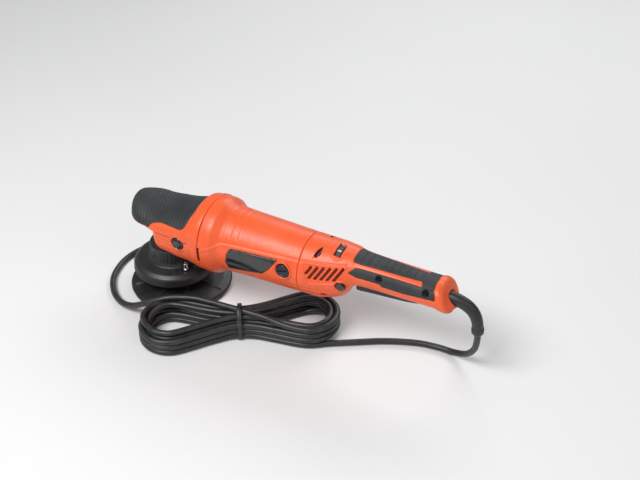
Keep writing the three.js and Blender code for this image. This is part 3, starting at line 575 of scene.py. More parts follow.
def make_cord():
    hank = hank_path()
    top = hank[-1][2] + 6.6
    # The last strand climbs over the near side of the waist, crosses on top and runs off the far
    # side of the left lobe.
    near = hank[:-3]
    crossing = [
        (66, -29.4, 24.7), (56, -25.8, 25.2), (42, -19.4, 26.8), (28, -12.5, 29.8), (13, -6, top),
        (0, 0.5, top + 0.3), (-16, 9, top), (-34, 18, top), (-52, 25.5, 31.6),
    ]
    route = LEAD_ROUTE[:-1] + [laid(p) for p in near + crossing] + TAIL_ROUTE[1:]
    path = spline(route, 3.0)
    return swept("cord", path, CORD_D / 2, 14), path


cord, cord_path = make_cord()


# ------------------------------------------------------------------ boot, plug and tie
def make_boot():
    """The strain relief: a drooping boot with a collar at its end and shallow rings."""
    pulls = [(-5, 0, 0), (21, 0, 0), (33, 2, -9), (33, 4, -38)]
    a, b, c, d = (np.array((TAIL_X + x, y, EXIT_Z + z), float) for x, y, z in pulls)
    t = np.linspace(0, 1, 141)[:, None]
    path = (1 - t) ** 3 * a + 3 * (1 - t) ** 2 * t * b + 3 * (1 - t) * t**2 * c + t**3 * d
    share = np.concatenate([[0], np.cumsum(np.linalg.norm(np.diff(path, axis=0), axis=1))])
    run = share[-1]
    share = share / run
    radius = 7.2 - 1.5 * share
    radius += 0.85 * smooth((share - 0.885) / 0.02)
    radius -= 0.45 * smooth((share - 0.985) / 0.015)
    for ring in (0.76, 0.80, 0.84):
        radius -= 0.35 * bump((share - ring) * run, 1.0)
    boot = swept("cord_boot", path, radius, 40)
    return finished(boot, BLACK, "housing", "black_rubber", "strain_relief")


boot = make_boot()

PLUG_X = cad("plug")[0][0]
_, PLUG_Y, PLUG_Z = cad_middle("plug")


def make_plug():
    """Round mains plug with a waisted grip, ribbed along its flanks."""
    swell = [
        (0, 5.2), (1.5, 6.2), (8, 8), (18, 12), (28, 12.3), (36, 12.9), (40, 13.3), (44, 12.9), (45, 12),
    ]

    def ribs(r, a, t):
        zone = smooth((a - 9) / 3) * smooth((36 - a) / 3)
        return r - 0.5 * zone * (0.5 + 0.5 * np.cos(2 * math.pi * a / 3.0)) ** 2, a

    flank = [(x, float(between(swell, x))) for x in np.arange(0.5, 44.6, 0.5)]
    profile = [(0, 0), (0, 5.2)] + flank + [(45, 11.8), (45, 0)]
    plug = turned("mains_plug", profile, "x", (PLUG_X, PLUG_Y, PLUG_Z), 64, ribs, 0)
    return finished(plug, BLACK, "housing", "black_plastic", "plug")


plug = make_plug()


def make_pins():
    pins = []
    for side in ("left", "right"):
        low, high = cad(f"plug_pin_{side}")
        radius, run = (high[2] - low[2]) / 2, high[0] - low[0]
        profile = [(-0.5, 0), (-0.5, radius), (run - 1.6, radius), (run - 0.4, radius * 0.62), (run, 0)]
        place = (low[0], (low[1] + high[1]) / 2, PLUG_Z)
        pin = turned(f"mains_pin_{side}", profile, "x", place, 32, None, 0.6)
        pins.append(finished(pin, BRASS, "housing", "brass", f"plug_pin_{side}"))
    return pins


pins = make_pins()


def make_tie():
    """A flat strap pulled round the hank's waist."""
    half, low, high, wide, thick = 14.9, 0.25, 36.6, 2.6, 1.2
    corners = [(-half, low), (half, low), (half + 0.3, 24), (7, high), (-7, high), (-half - 0.3, 24)]
    ring = np.array(rounded(corners, 7.0, True, 8))
    outward = ring - ring.mean(0)
    outward /= np.linalg.norm(outward, axis=1)[:, None]
    section = [
        (-wide, 0), (-wide * 0.92, thick), (0, thick * 1.1), (wide * 0.92, thick), (wide, 0), (0, -0.05),
    ]
    place = np.zeros((len(ring), len(section), 3))
    for j, (u, depth) in enumerate(section):
        at = ring + outward * depth
        at[:, 1] = np.maximum(at[:, 1], 0.15)
        for i, (v, z) in enumerate(at):
            place[i, j] = laid((u + 0.5 * math.sin(3 * v / half), v, z))
    place = np.concatenate([place, place[:1]])
    tie = grid_object("cord_strap", place)
    return finished(tie, BLACK, "housing", "black_plastic", "cord_tie")


tie = make_tie()
finished(cord, CORD, "housing", "cord_jacket", "cord_lead", "cord_hank", "cord_tail")


# ------------------------------------------------------------------ body surfaces
def oval_reach(turn, half, up, down, power):
    """Distance from a section's middle to its rounded outline, along each angle."""
    c, s = np.abs(np.cos(turn)), np.abs(np.sin(turn))
    height = np.where(np.sin(turn) > 0, up, down)
    return ((c / half) ** power + (s / height) ** power) ** (-1 / power)


def oval_depth(y, z, half, up, down, power):
    """Distance outside (above 0) or inside an oval section, measured from its middle."""
    height = np.where(z > 0, up, down)
    value = ((np.abs(y) / half) ** power + (np.abs(z) / height) ** power) ** (1 / power)
    return np.hypot(y, z) * (1 - 1 / np.maximum(value, 1e-6))


def soft_union(first, second, radius):
    mix = np.clip(0.5 + 0.5 * (second - first) / radius, 0, 1)
    return second * (1 - mix) + first * mix - radius * mix * (1 - mix)


HEAD_MID = AXIS_Z + 5.0  # height of the head's widest line
NOSE_HALF = 33.0
KNOB_X = NOSE_X + NOSE_HALF
CREST = [
    (NOSE_X, 24.0), (-38, 25.6), (-28, 25.2), (-14, 22.6), (0, 20.6), (15, 22.8), (30, 27.5), (42, 32),
    (50, 37), (61.5, 43.6), (SEAM_FRONT, 43.9),
]
HEAD_WIDTH = [
    (KNOB_X, NOSE_HALF), (-6, 35.2), (3, 37.6), (30, 38.5), (42, 39.5), (50, 41), (61.5, 43.6),
    (SEAM_FRONT, 43.9),
]
HEAD_SQUARENESS = [(NOSE_X, 2.1), (40, 2.3), (SEAM_FRONT, 2.0)]
LOWER = [  # x, half width, depth under the axis, squareness
    (-22.5, 2, 2, 2.6), (-20.5, 9, 11, 2.8), (-12, 20, 17, 3.4), (-3, 31, 22, 3.8), (4, 36, 26, 4.2),
    (25, 37.5, 29, 4.2), (42, 39, 33.5, 3), (50, 41, 38, 2.4), (61.5, 43.6, 43.6, 2),
    (SEAM_FRONT, 43.9, 43.9, 2),
]
FLANGE = [(45.5, 34.5), (49, 39), (52, 42), (57, 43.7), (SEAM_FRONT, 44.1)]
FAR_OUTSIDE = 50.0  # stands for the distance to a form that has not begun


def lower_column(index, x):
    return between([(row[0], row[index]) for row in LOWER], x)


def head_outside(x, y, z):
    """Distance outside the head's form at a point."""
    from_nose = np.maximum(x - NOSE_X, 1e-4)
    half = between(HEAD_WIDTH, x)
    front = np.clip(1 - np.abs(KNOB_X - x) ** 2 / NOSE_HALF**2, 1e-6, 1) ** 0.5
    half = np.where(x < KNOB_X, NOSE_HALF * front, half)

    def eased(reach):
        share = 1 - np.clip(from_nose / reach, 0, 1)
        return np.where(from_nose < reach, (1 - share**2.2) ** (1 / 2.2), 1.0)

    up = (between(CREST, x) - 5.0) * np.maximum(eased(7.5), 1e-3)
    down = 4.6 * np.maximum(eased(4.0), 1e-3)
    top = oval_depth(y, z - HEAD_MID, half, up, down, between(HEAD_SQUARENESS, x))
    low = oval_depth(y, z - AXIS_Z, lower_column(1, x), 6.0, lower_column(2, x), lower_column(3, x))
    low = np.where(x < LOWER[0][0], FAR_OUTSIDE, low)
    flange = np.hypot(y, z - AXIS_Z) - between(FLANGE, x)
    flange = np.where(x < FLANGE[0][0], FAR_OUTSIDE, flange)
    return np.minimum(soft_union(top, low, 3.0), flange)


def head_reach(x, turn):
    """Distance from the head's middle line to its surface, found by halving."""
    near, far = np.zeros_like(x), np.full_like(x, 70.0)
    for _ in range(34):
        middle = (near + far) / 2
        out = head_outside(x, middle * np.cos(turn), HEAD_MID + middle * np.sin(turn)) > 0
        near, far = np.where(out, near, middle), np.where(out, middle, far)
    return (near + far) / 2


MOTOR = [
    (SEAM_FRONT, 44.0), (73, 44.2), (77.8, 43.4), (82.4, 40.6), (88, 37.4), (95, 36.8), (150, 35),
    (SEAM_REAR, 33.8),
]
HANDLE = [  # x, height of the middle over the axis, half width, up, down, squareness
    (SEAM_REAR, 0, 34, 34, 34, 2), (200, 0, 33, 33.7, 33.5, 2.05), (215, 1, 31, 33, 30, 2.1),
    (230, 4, 27, 28.8, 25.5, 2.2), (237, 7, 23.5, 25, 17, 2.3), (243, 11, 21, 19.2, 14.5, 2.4),
    (252, 11.5, 20, 18, 14, 2.4), (290, 12, 19.2, 16, 14, 2.4), (328, 12.5, 19.6, 14.4, 13.5, 2.4),
    (334, 12.5, 20.6, 15.8, 15.5, 2.4), (TAIL_X, 12.5, 21, 16, 16, 2.4),
]

# The tail's end leans: its foot reaches further back than its top.
LEAN_FROM, TAIL_REACH, TAIL_SLANT = 318, 3.5, 0.42


def handle_column(index, x):
    return between([(row[0], row[index]) for row in HANDLE], x)


FORMS = {
    "head": (head_reach, lambda x: np.full_like(x, HEAD_MID)),
    "motor": (lambda x, turn: between(MOTOR, x), lambda x: np.full_like(x, AXIS_Z)),
    "handle": (
        lambda x, turn: oval_reach(turn, *(handle_column(k, x) for k in (2, 3, 4, 5))),
        lambda x: AXIS_Z + handle_column(1, x),
    ),
}


def base_point(form, x, turn):
    reach, middle = FORMS[form]
    r = reach(x, turn)
    return np.stack([x, r * np.cos(turn), middle(x) + r * np.sin(turn)], -1)


def base_normal(form, x, turn):
    step_x, step_turn = 0.12, 0.004
    dx = base_point(form, x + step_x, turn) - base_point(form, x - step_x, turn)
    dt = base_point(form, x, turn + step_turn) - base_point(form, x, turn - step_turn)
    normal = np.cross(dx, dt)
    size = np.linalg.norm(normal, axis=-1, keepdims=True)
    normal = np.where(size > 1e-7, normal / np.maximum(size, 1e-9), (-1.0, 0.0, 0.0))
    outward = np.stack([np.zeros_like(x), np.cos(turn), np.sin(turn)], -1)
    flip = np.sum(normal * outward, -1, keepdims=True) < -1e-6
    return np.where(flip, -normal, normal)


LIP = [(0.0, 3.4), (0.0, 0.9), (0.12, 0.4), (0.4, 0.12), (0.9, 0.0)]  # in from an edge, and down


def edged(start, end, step, lip_start=True, lip_end=True):
    """Stations from start to end, with a rounded edge that turns inward at each end."""
    first = [(start + a, down) for a, down in LIP] if lip_start else [(start, 0.0)]
    last = [(end - a, down) for a, down in reversed(LIP)] if lip_end else [(end, 0.0)]
    a, b = first[-1][0], last[0][0]
    count = max(2, int(round((b - a) / step)))
    return first + plain(np.linspace(a, b, count + 1)[1:-1]) + last


def skin(name, form, stations, turns, relief, closed=True, keep=None, close=None):
    """A shell over a form. stations and turns list (place, inset); relief gives height and the amount of
    painted shade at each point.
    close gives the share of the way in, ring by ring, to a round hole's radius and height."""
    xs, x_in = np.array(stations).T
    ts, t_in = np.array(turns).T
    x, turn = np.meshgrid(xs, ts, indexing="ij")
    inset = np.maximum(x_in[:, None], t_in[None, :])
    base = base_point(form, x, turn)
    normal = base_normal(form, x, turn)
    height, painted_light = relief(base, normal)
    place = base + normal * height[..., None]
    place[..., 1] -= inset * np.cos(turn)
    place[..., 2] -= inset * np.sin(turn)
    if close is not None:
        share, radius, middle = close
        share = share[:, None]
        slanted = smooth((x - LEAN_FROM) / (TAIL_X - LEAN_FROM))
        place[..., 0] += slanted * (TAIL_REACH - TAIL_SLANT * (place[..., 2] - middle))
        place[..., 1] += share * (radius * np.cos(turn) - place[..., 1])
        place[..., 2] += share * (middle + radius * np.sin(turn) - place[..., 2])
    return grid_object(name, place, closed, painted_light, None if keep is None else keep(base, normal))


def inlay(name, form, stations, turns, relief, outline, past, closed=False):
    """A skin over only the part of a form that an outline encloses, and a little past it."""
    def keep(base, normal):
        return surface_distance(outline, base, normal) < past

    return skin(name, form, stations, turns, relief, closed, keep)


def plain(places):
    """Stations or turns at these places, without an inset."""
    return [(place, 0.0) for place in places]


def all_round(step):
    count = int(round(2 * math.pi / step))
    return plain(np.linspace(0, 2 * math.pi, count, endpoint=False))


SINK = 1.9  # how far a skin dives under its neighbour
DIVE = 1.5  # over what width it does


def under(distance):
    """Height of a skin whose edge is where distance is 0: level inside, dived outside."""
    return -SINK * smooth((distance + 0.35 * DIVE) / DIVE)


# ------------------------------------------------------------------ head
RUBBER_LINE = rounded(over_axis([
    (-80, 5.4), (-6, 5.4), (-1.5, 12.6), (10, 15.6), (38.5, 16.6), (44, 21), (47, 31), (48.5, 46),
    (48.5, 90), (-80, 90),
]), 3.0)
CAP_LOW, CAP_HIGH = cad("side_handle_cap_left")
CAP_X, _, CAP_Z = cad_middle("side_handle_cap_left")
CAP_R = (CAP_HIGH[0] - CAP_LOW[0]) / 2 + 0.9
VENT_FRONT, VENT_REAR = SEAM_FRONT - 1.2, SEAM_FRONT + 1.9
SEAM_VENT = rounded(over_axis([(VENT_FRONT, -14), (VENT_REAR, -14), (VENT_REAR, 6), (VENT_FRONT, 6)]), 0.8)
SEAM_VENT_DEPTH = 2.4
CAP_FACE = 39.4  # how far out the boss round each side cap stands
BRUSH_FACE = 36.0
PORT_DEPTH = 3.0  # of the wells for side caps, brush caps and screws


def seam_vent(flank, x, z):
    """The upright vent that is cut half in the head and half in the motor housing."""
    return flank * within(outline_distance(SEAM_VENT, x, z), 0.3, 0.7)


def boss(place, normal, centre, radius, level, limit=4.0):
    """Height that brings the surface inside a circle on the flank out to a flat boss."""
    x, y, z = np.moveaxis(place, -1, 0)
    facing = np.abs(normal[..., 1])
    inside = within(np.hypot(x - centre[0], z - centre[1]), radius, 0.9) * smooth((facing - 0.45) / 0.25)
    return inside * np.clip((level - np.abs(y)) / np.maximum(facing, 0.5), 0, limit)


def head_relief(place, normal):
    x, y, z = np.moveaxis(place, -1, 0)
    flank = smooth((np.abs(y) - 22) / 6)
    height = under(-surface_distance(RUBBER_LINE, place, normal))
    from_cap = np.hypot(x - CAP_X, z - CAP_Z)
    lobe = within(segment_distance((CAP_X, CAP_Z), (CAP_X + 9, CAP_Z + 9), x, z), 4.2, 0.9)
    ring = boss(place, normal, (CAP_X, CAP_Z), CAP_R + 2.6, CAP_FACE)
    height = height + np.maximum(ring, flank * 0.7 * lobe)
    height = height - flank * PORT_DEPTH * within(from_cap, CAP_R + 0.4)
    # Painted shade in the side cap's well and in the seam vent.
    painted_light = flank * within(from_cap, CAP_R + 0.4)
    for rib in range(4):
        at = AXIS_Z + 4 - 5.0 * rib
        height = height + 0.4 * flank * bump(segment_distance((4, at), (24, at - 1), x, z), 1.4)
    # The flange behind the block: a soft raised band along its front edge, and the motor's vent.
    height = height + 0.4 * bump(x - 53.5, 3.0) * smooth((z - AXIS_Z - 12) / 5)
    vent = seam_vent(flank, x, z)
    return height - SEAM_VENT_DEPTH * vent, np.maximum(painted_light, vent)


RIB_PITCH = 4.3


def head_rubber_relief(place, normal):
    x, y, z = np.moveaxis(place, -1, 0)
    distance = surface_distance(RUBBER_LINE, place, normal)
    height = 0.25 + under(distance)
    phase = (x + 0.30 * y - 0.25 * np.maximum(0, AXIS_Z + 16 - z)) / RIB_PITCH
    groove = bump(phase - np.round(phase), 0.17)
    inner = smooth((-distance - 2.2) / 1.2) * smooth((46.5 - x) / 1.0)
    height = height - 0.55 * groove * inner
    height = height - 0.45 * bump(x - 47.3, 0.8) * smooth((-distance - 0.8) / 1.0)
    # The last value is painted shade in the rib grooves.
    return height, 0.6 * groove * inner


def make_head():
    """The orange cover and the ribbed rubber on it, over the same stations."""
    nose = plain(NOSE_X + 30 * s * s for s in np.linspace(0, 1, 62))
    stations = nose + edged(nose[-1][0] + 0.8, SEAM_FRONT - 0.35, 0.8, False, True)
    turns = all_round(0.0165)
    cover = skin("head_cover", "head", stations, turns, head_relief)
    finished(cover, ORANGE, "housing", "orange_plastic", "head_shell")
    grip = inlay("head_rubber", "head", stations, turns, head_rubber_relief, RUBBER_LINE, 1.6, True)
    finished(grip, RUBBER, "housing", "black_rubber", "head_grip")


make_head()


def side_cap(name, sign, x, z, radius, outer, material, node, slit):
    """A turned plug in a side bore: dished, with a slit for a coin, or domed inside a rim."""
    profile = [(-9, 0), (-9, radius), (-1.4, radius), (-0.5, radius - 0.35), (0, radius - 1.0)]
    if slit:
        profile += [(-0.1, radius - 1.9), (-0.9, radius - 2.5), (-0.9, radius * 0.35), (-0.7, 0)]
    else:
        profile += [(-0.9, radius - 1.5), (-0.8, radius - 1.9), (0.3, radius * 0.6)]
        profile += [(0.9, radius * 0.3), (1.0, 0)]
    fine = finely(rounded(profile, 0.4, False), 0.45)

    def cut(r, a, t):
        across = np.abs(r * np.sin(t - 0.35))
        deep = slit * within(across, 1.15, 0.5) * within(r, radius - 1.4, 0.5) * (a > -2)
        return r, sign * (a - deep)

    # Painted shade on the floor of the cap's slit and bore, where the finish has a painted light colour.
    def painted_floor_shade(r, a, t):
        return (np.abs(a) > 1.6) * (r < radius - 1.5) * 1.0

    cap = turned(name, fine, "y", (x, sign * outer, z), 96, cut, 0, painted_floor_shade)
    return finished(cap, material, "housing", "black_plastic", node)


SIDES = ((-1, "left"), (1, "right"))
for sign, side in SIDES:
    side_cap(f"handle_mount_cap_{side}", sign, CAP_X, CAP_Z, CAP_R, CAP_FACE + 0.2, GLOSS,
             f"side_handle_cap_{side}", 0.0)

# ------------------------------------------------------------------ motor housing
BADGE_LINE = rounded(over_axis([
    (102, 12), (159.5, 15), (150, 1), (141, -8.5), (98, -16.5), (96, -6), (98, 5),
]), 2.5)
BRUSH_LOW, BRUSH_HIGH = cad("brush_cap_left")
BRUSH_X, _, BRUSH_Z = cad_middle("brush_cap_left")
BRUSH_R = (BRUSH_HIGH[0] - BRUSH_LOW[0]) / 2
WAIST_LINE = over_axis([(SEAM_FRONT, 5), (75, 9), (90, 15.5), (110, 17), (SEAM_REAR, 20), (236, 25.5)])
FOOT_LINE = over_axis([(66, -15), (96, -21), (160, -16), (SEAM_REAR, -12), (226, -7)])


def styling(x, y, z):
    """The crease and raised band along each flank, and the soft ridge under them."""
    crease = line_distance(WAIST_LINE, x, z)
    band = line_distance([(a, b - 2.4) for a, b in WAIST_LINE], x, z)
    foot = line_distance(FOOT_LINE, x, z)
    flank = smooth((np.abs(y) - 12) / 4)
    return flank * (0.5 * bump(band, 2.6) - 0.55 * bump(crease, 1.3) - 0.5 * bump(foot, 2.0))


def motor_relief(place, normal):
    x, y, z = np.moveaxis(place, -1, 0)
    height = styling(x, y, z)
    upper = smooth((z - AXIS_Z - 19) / 5)
    for crease, deep in ((75.5, 0.25), (89.5, 0.35), (99, 0.5), (107, 0.3)):
        height = height - deep * upper * bump(x - crease, 1.5)
    flank = smooth((np.abs(y) - 20) / 5)
    from_brush = np.hypot(x - BRUSH_X, z - BRUSH_Z)
    height = height + boss(place, normal, (BRUSH_X, BRUSH_Z), BRUSH_R + 2.6, BRUSH_FACE)
    hole = flank * within(from_brush, BRUSH_R + 0.5)
    height = height - PORT_DEPTH * hole
    recess = smooth(-(surface_distance(BADGE_LINE, place, normal) - 0.4) / 0.8) * (y < 0)
    height = height - 1.2 * recess
    vent = seam_vent(flank, x, z)
    # The second value is painted shade in the seam vent and in the brush cap's well.
    return height - SEAM_VENT_DEPTH * vent, np.maximum(vent, hole)


def badge_relief(place, normal):
    distance = surface_distance(BADGE_LINE, place, normal)
    rim = 0.35 * bump(distance + 1.3, 0.9)
    return 0.15 + rim - 2.2 * smooth((distance + 0.4) / 0.8), np.zeros(distance.shape)


def make_motor():
    """The motor's orange cover, with the blank badge let into its left flank."""
    stations = edged(SEAM_FRONT, SEAM_REAR - 0.1, 0.8)
    cover = skin("motor_cover", "motor", stations, all_round(0.0185), motor_relief)
    finished(cover, ORANGE, "housing", "orange_plastic", "motor_housing")
    turns = plain(np.linspace(math.pi * 0.80, math.pi * 1.22, 110))
    stations = plain(np.arange(93, 162.5, 0.7))
    badge = inlay("blank_badge", "motor", stations, turns, badge_relief, BADGE_LINE, 0.9)
    finished(badge, GLOSS, "housing", "gloss_black", "badge")


make_motor()
for sign, side in SIDES:
    side_cap(f"brush_cover_{side}", sign, BRUSH_X, BRUSH_Z, BRUSH_R, BRUSH_FACE + 0.1, BLACK,
             f"brush_cap_{side}", 1.8)

# ------------------------------------------------------------------ handle
TOP_LINE = rounded(over_axis([
    (239, 28), (248, 27), (316, 26.2), (316, 23.5), (331.6, 23.5), (325, 50), (325, 70), (239, 70),
]), 2.5)
SIDE_LINE = rounded(over_axis([
    (237, 18.5), (244, 24.2), (316, 23.7), (331.6, 23.3), (333.4, 15), (298, 11.8), (274, 11.8),
    (273, 14.3), (246, 14.3),
]), 1.4)
VENT_PANEL = rounded(over_axis([(189, 18.3), (196, -2.2), (225, 4.6), (233.5, 23)]), 2.0)
VENT = {"x": 196.8, "z": AXIS_Z + 4, "half": 1.5, "pitch": 6.9, "climb": 0.85, "lean": 7.7, "rise": 13.4}
INTAKE = rounded(over_axis([(197.6, 26.6), (200.2, 25.8), (203.6, 28.6), (202.3, 32.3), (199.2, 30.2)]), 0.9)
SCOOP = rounded(over_axis([(195.6, 23.4), (200, 25.6), (203.6, 28.6), (202.3, 32), (198.6, 29.8)]), 1.2)
LOCK_LOW, LOCK_HIGH = cad("lock_button")
LOCK_X, _, LOCK_Z = cad_middle("lock_button")
LOCK_R = (LOCK_HIGH[0] - LOCK_LOW[0]) / 2
DIAL_LOW, DIAL_HIGH = cad("speed_dial")
DIAL_X, DIAL_Y, DIAL_Z = cad_middle("speed_dial")
DIAL_R, DIAL_WIDTH = (DIAL_HIGH[2] - DIAL_LOW[2]) / 2, DIAL_HIGH[0] - DIAL_LOW[0]
SCREWS = [cad_middle(f"handle_screw_{k}")[[0, 2]] for k in (1, 2, 3)]
WELL_R = 3.4
SLOT_X, SLOT_Y, SLOT_TOP = (238.5, 320.0), 12.2, AXIS_Z + 8.5


def handle_relief(place, normal):
    x, y, z = np.moveaxis(place, -1, 0)
    height = styling(x, y, z) * smooth((238 - x) / 4)
    # Painted shade, gathered below: in the vent slots, the intake, the lock's hole, the screw wells and the
    # dial's opening.
    painted_light = np.zeros(x.shape)
    height = height + under(-surface_distance(TOP_LINE, place, normal))
    height = height + under(-surface_distance(SIDE_LINE, place, normal)) * (np.abs(y) > 4)
    flank = smooth((np.abs(y) - 14) / 4)
    panel = flank * smooth((0.6 - outline_distance(VENT_PANEL, x, z)) / 1.2)
    rim = flank * bump(outline_distance(VENT_PANEL, x, z) - 1.4, 1.5)
    height = height - 0.8 * panel + 0.45 * rim
    for slot in range(6):
        clipped = 0.45 if slot == 0 else 0.0
        foot_x = VENT["x"] + VENT["pitch"] * (slot - 1)
        foot_z = VENT["z"] + VENT["climb"] * (slot - 1)
        low = (foot_x + clipped * VENT["lean"], foot_z + clipped * VENT["rise"])
        high = (foot_x + VENT["lean"], foot_z + VENT["rise"])
        cut = flank * within(segment_distance(low, high, x, z), VENT["half"] + 0.3)
        height = height - 2.6 * cut
        painted_light = np.maximum(painted_light, 0.85 * cut)
    upper_flank = smooth((np.abs(y) - 3) / 3)
    from_intake = surface_distance(INTAKE, place, normal)
    leaf = upper_flank * within(from_intake, 0.3)
    scoop = upper_flank * within(surface_distance(SCOOP, place, normal), 0.2, 2.2)
    height = height - 2.4 * leaf - 1.0 * scoop
    painted_light = np.maximum(painted_light, upper_flank * within(from_intake, 1.0))
    left = smooth((-y - 14) / 3)
    from_lock = np.hypot(x - LOCK_X, z - LOCK_Z)
    ring = boss(place, normal, (LOCK_X, LOCK_Z), LOCK_R + 2.2, -LOCK_LOW[1] - 0.5, 1.6)
    height = height + (y < 0) * ring
    hole = left * within(from_lock, LOCK_R + 0.6)
    height = height - 3.2 * hole
    painted_light = np.maximum(painted_light, hole)
    for sx, sz in SCREWS:
        well = left * within(np.hypot(x - sx, z - sz), WELL_R + 0.3)
        height = height - PORT_DEPTH * well
        painted_light = np.maximum(painted_light, 0.8 * well)
    height, painted_light = window_relief(x, y, z, height, painted_light)
    # A groove round the tail's collar, and the parting line between the two shells.
    height = height - 0.4 * bump(x - (TAIL_X - 6.2), 0.9)
    height = height - 0.45 * bump(y, 0.9)
    return height, painted_light


def window_relief(x, y, z, height, painted_light):
    """The speed dial's opening across the top, with a raised arc round its near and front sides, and painted
    shade in the opening.
    """
    top = smooth((z - AXIS_Z - 18) / 3)
    opening = np.maximum(np.abs(x - DIAL_X) - 4.0, np.abs(y - DIAL_Y + 1) - 10.0)
    arc = np.hypot((x - DIAL_X) / 8.5, (y - DIAL_Y + 1) / 13.0)
    ridge = top * bump(arc - 1.0, 0.16) * smooth((DIAL_Y + 4 - y) / 6 + (DIAL_X - 2 - x) / 6)
    cut = top * within(opening, 0.3, 0.7)
    return height + 0.8 * ridge - 3.4 * cut, np.maximum(painted_light, cut)


def slotted(obj):
    """Opens the trigger's slot under a handle skin: the skin there goes up to the slot's ceiling and gets
    painted shade.
    """
    count = len(obj.data.vertices)
    co = np.zeros(count * 3)
    obj.data.vertices.foreach_get("co", co)
    co = co.reshape(-1, 3) / MM
    inside = np.maximum(np.maximum(SLOT_X[0] - co[:, 0], co[:, 0] - SLOT_X[1]), np.abs(co[:, 1]) - SLOT_Y)
    share = smooth((0.2 - inside) / 0.9) * (co[:, 2] < SLOT_TOP)
    co[:, 2] += share * (SLOT_TOP - co[:, 2])
    obj.data.vertices.foreach_set("co", (co * MM).ravel())
    layer = obj.data.attributes["painted_light"]
    painted_light = np.zeros(count, np.float32)
    layer.data.foreach_get("value", painted_light)
    layer.data.foreach_set("value", np.maximum(painted_light, share.astype(np.float32)))
    obj.data.update()


# Rings of the handle's domed end: share of the way in to the boot's hole, and depth (under 0 stands out).
TAIL_FACE = [
    (0.1, -0.3), (0.25, -0.9), (0.45, -1.8), (0.65, -2.7), (0.85, -3.3), (0.95, -3.4), (1.0, -3.0),
    (1.0, 2.0),
]
BOOT_HOLE_R = 7.7
FINE_FROM, FINE_TO = 187.0, 236.0  # the stretch with the vents, which needs closer stations


def handle_stations():
    rows = edged(SEAM_REAR + 0.35, FINE_FROM, 0.8, True, False)
    rows += plain(np.arange(FINE_FROM + 0.45, FINE_TO, 0.45))
    rows += plain(np.arange(FINE_TO, TAIL_X - 6.0, 0.75))
    rim = [(5.4, 0.0), (4.0, 0.2), (2.6, 0.7), (1.4, 1.6), (0.5, 2.8), (0.0, 4.2)]
    face = [(TAIL_X - back, 4.2) for _, back in TAIL_FACE]
    return rows + [(TAIL_X - back, inset) for back, inset in rim] + face


def half_turns(side):
    """Angles of one shell: left is the -Y half. The edges at the parting plane turn inward."""
    start = 0.5 * math.pi if side == "left" else -0.5 * math.pi
    inner = [(start + 0.004, 2.6), (start + 0.004, 0.4), (start + 0.010, 0.08)]
    middle = np.linspace(start + 0.022, start + math.pi - 0.022, 205)
    far = [(2 * (start + math.pi / 2) - t, down) for t, down in reversed(inner)]
    return inner + plain(middle) + far


def make_shells():
    stations = handle_stations()
    drawn = np.zeros(len(stations))
    drawn[-len(TAIL_FACE):] = [share for share, _ in TAIL_FACE]
    hole = (drawn, BOOT_HOLE_R, EXIT_Z)
    for _, side in SIDES:
        name, turns = f"handle_cover_{side}", half_turns(side)
        shell = skin(name, "handle", stations, turns, handle_relief, False, close=hole)
        slotted(shell)
        finished(shell, ORANGE, "housing", "orange_plastic", f"handle_shell_{side}")


def top_grip_relief(place, normal):
    x, y, z = np.moveaxis(place, -1, 0)
    distance = surface_distance(TOP_LINE, place, normal)
    groove = np.zeros(x.shape)
    for k in range(9):
        groove = np.maximum(groove, bump(x - (247 + 8.2 * k), 0.95))
    inner = smooth((-distance - 1.4) / 1.0)
    # The last value is painted shade in the grooves.
    return 0.2 + under(distance) - 0.6 * groove * inner, 0.6 * groove * inner


def side_grip_relief(place, normal):
    x, y, z = np.moveaxis(place, -1, 0)
    distance = surface_distance(SIDE_LINE, place, normal)
    height = 0.2 + under(distance)
    # Painted shade in the screw wells.
    painted_light = np.zeros(x.shape)
    for sx, sz in SCREWS:
        from_screw = np.hypot(x - sx, z - sz)
        well = (y < 0) * within(from_screw, WELL_R + 0.3)
        height = height - PORT_DEPTH * well + (y < 0) * 0.3 * bump(from_screw - WELL_R - 1.2, 1.0)
        painted_light = np.maximum(painted_light, well)
    return height, painted_light


GRIPS = [  # piece, node, outline, relief, first and last angle as shares of a half turn, count
    ("top", "grip_top", TOP_LINE, top_grip_relief, 0.12, 0.88, 120),
    ("left", "grip_side_left", SIDE_LINE, side_grip_relief, 0.60, 1.40, 150),
    ("right", "grip_side_right", SIDE_LINE, side_grip_relief, -0.40, 0.40, 150),
]


def make_grips():
    """The rubber let into the handle's top and flanks."""
    stations = plain(np.arange(235, 332, 0.6))
    for piece, node, outline, relief, start, end, count in GRIPS:
        turns = plain(np.linspace(start * math.pi, end * math.pi, count))
        grip = inlay(f"handle_rubber_{piece}", "handle", stations, turns, relief, outline, 1.5)
        finished(grip, RUBBER, "housing", "black_rubber", node)


def make_screws():
    """Pan heads with a cross recess, at the bottom of their wells, coloured near black as painted shade of
    the wells.
    """
    for index in (1, 2, 3):
        x, _, z = cad_middle(f"handle_screw_{index}")
        outer = cad(f"handle_screw_{index}")[0][1]

        def cross(r, a, t):
            arm = np.minimum(np.abs(r * np.cos(t + 0.4)), np.abs(r * np.sin(t + 0.4)))
            deep = 0.9 * within(arm, 0.75, 0.35) * within(r, 2.0, 0.3)
            return r, a + deep * (a < 0.5)

        rings = [(2.2, 0), (2.2, 2.9), (0.7, 2.9), (0.25, 2.6), (0.05, 1.9)]
        rings += [(0.0, r) for r in np.arange(1.7, 0.0, -0.22)] + [(0.0, 0.0)]
        screw = turned(f"handle_screw_head_{index}", rings, "y", (x, outer + 0.1, z), 64, cross, 0)
        finished(screw, SCREW_STEEL_PAINTED_SHADE, "housing", "dark_steel", f"handle_screw_{index}")


make_shells()
make_grips()
make_screws()

